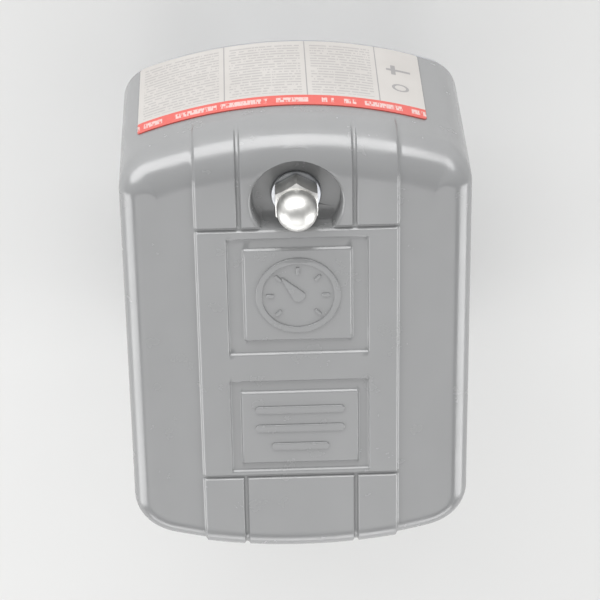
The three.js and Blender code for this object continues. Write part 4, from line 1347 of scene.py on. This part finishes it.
def build_ground(name, side):
    """A green screw and the cup washer under its head."""
    low = PLATE_HIGH + 0.1
    profile = [(1.9, low), (4.7, low)] + arc(4.6, low + 0.5, 0.5, 290, 350, 4)
    profile += [(5.4, low + 1.8), (5.3, low + 1.9), (4.85, low + 1.9), (4.5, low + 0.8),
                (4.2, low + 0.7), (1.9, low + 0.7)]
    cup = lathe(profile, (side * GROUND.x, GROUND.y), 64)
    stand_for(cup, f"ground_cup_{name}", "frame", "zinc_plate")
    screw(f"ground_screw_{name}", "frame", "green_screw", 2.9, 1.65, 3.9)


# ---- All the pieces ----

RANGE_TRAVEL, DIFFERENTIAL_TRAVEL = 4.764, 3.176  # of the caps, to their limits

build_cover()
build_signs()
build_label()
build_cover_nut()
build_frame()
build_housing()
build_diaphragm_and_piston()
build_flange_screws()
build_stud("range_stud", RANGE_Y, 2.4, 4.0, 27.5)
build_stud("differential_stud", DIFF_Y, 2.05, 3.4, 27.0)
build_spring("range_spring", RANGE_Y, 8.4, 1.1, 7.5, "range_cap_travel", RANGE_TRAVEL)
build_spring("differential_spring", DIFF_Y, 4.0, 0.75, 9.5, "differential_cap_travel",
             DIFFERENTIAL_TRAVEL)
build_spring_seat()
build_spring_cap("range_spring_cap", RANGE_Y, 10.2, 6.8, 2.6)
build_spring_cap("differential_spring_cap", DIFF_Y, 4.8, 2.7, 2.25)
build_adjusting_nut("range_nut", RANGE_Y, 9.5, 2.5)
build_adjusting_nut("differential_nut", DIFF_Y, 8.7, 2.15)
build_lever()
build_pivot()
build_carrier()
build_bridges()
for i in range(1, 5):
    contact_rivet(f"moving_contact_{i}", True, "contact_carrier")
    contact_rivet(f"fixed_contact_{i}", False, "frame")
build_toggle_spring()
build_block()
for i, x in enumerate(TERMINAL_X, 1):
    build_strip(i, x)
    build_clamp(i, x)
    screw(f"terminal_screw_{i}", f"terminal_screw_{i}", "brass", 2.7, 1.95, 3.1)
for name, side in (("left", -1), ("right", 1)):
    screw(f"block_screw_{name}", "frame", "zinc_plate", 2.15, 1.65, 3.2)
    build_ground(name, side)

# ---- Floor, lights and camera ----

FLOOR_SIZE = 3000
SOFTBOXES = {  # (place, width, height, power), all aimed at AIM
    "label_side_box": ((160, -900, 340), 1800, 520, 18.0),
    "overhead_box": ((60, 620, 980), 1100, 700, 3.9),
    "left_box": ((880, 480, 340), 600, 700, 6.0),
    "right_box": ((-880, 480, 340), 600, 700, 6.5),
    "conduit_side_box": ((0, 1000, 230), 1200, 300, 3.5),
}
AIM = Vector((0, 10, 60))


def floor():
    n = Nodes("floor")
    n.shade(Base_Color=n.ramp(n.noise(9, 3), (0.60, 0.60, 0.595), (0.625, 0.625, 0.62)),
            Roughness=n.ramp(n.noise(700, 2), 0.55, 0.65))
    size = FLOOR_SIZE
    z = CAD_BOX[0][2] / MM - 0.02
    points = [(-size, -size, z), (size, -size, z), (size, size, z), (-size, size, z)]
    obj = mesh_object("floor", points, [(0, 1, 2, 3)])
    obj.data.materials.append(n.material)
    obj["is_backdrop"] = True


def softbox(name, at, width, height, power):
    """A rectangular light that faces the object's middle, out of the camera's sight."""
    light = bpy.data.lights.new(name, "AREA")
    light.shape = "RECTANGLE"
    light.size, light.size_y = width * MM, height * MM
    light.energy = power
    obj = new_object(name, light)
    obj.location = Vector(at) * MM
    obj.rotation_euler = (AIM - Vector(at)).to_track_quat("-Z", "Y").to_euler()
    obj.visible_camera = False


def studio():
    for name, values in SOFTBOXES.items():
        softbox(name, *values)
    world = bpy.data.worlds.new("studio")
    world.use_nodes = True
    background = world.node_tree.nodes["Background"]
    background.inputs["Color"].default_value = (1, 1, 1, 1)
    background.inputs["Strength"].default_value = 0.42
    bpy.context.scene.world = world
    bpy.context.scene.view_settings.view_transform = "Standard"


def camera():
    """Looks down on the cover from the label side, with that side at the picture's top."""
    tilt, swing, roll = math.radians(30), math.radians(2.15), math.radians(0.93)
    distance, view_angle = 563, math.radians(12.72)
    back = Vector((math.sin(tilt) * math.sin(swing), -math.sin(tilt) * math.cos(swing),
                   math.cos(tilt)))
    right = (-back).cross(Vector((0, -1, 0))).normalized()
    up = back.cross(right)
    right, up = (right * math.cos(roll) - up * math.sin(roll),
                 up * math.cos(roll) + right * math.sin(roll))
    at = Vector((0, 0, FACE_Z)) + distance * back + 0.42 * right - 1.48 * up
    data = bpy.data.cameras.new("camera")
    data.sensor_width = 36
    data.lens = data.sensor_width / 2 / math.tan(view_angle / 2)
    data.clip_start, data.clip_end = 0.01, 20
    obj = new_object("camera", data)
    obj.matrix_world = Matrix.Translation(at * MM) @ Matrix((right, up, back)).transposed().to_4x4()
    bpy.context.scene.camera = obj


floor()
studio()
camera()

boxes = {"cad": CAD_BOX, "visual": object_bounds()}
{k: [[float(v) for v in corner] for corner in b] for k, b in boxes.items()}
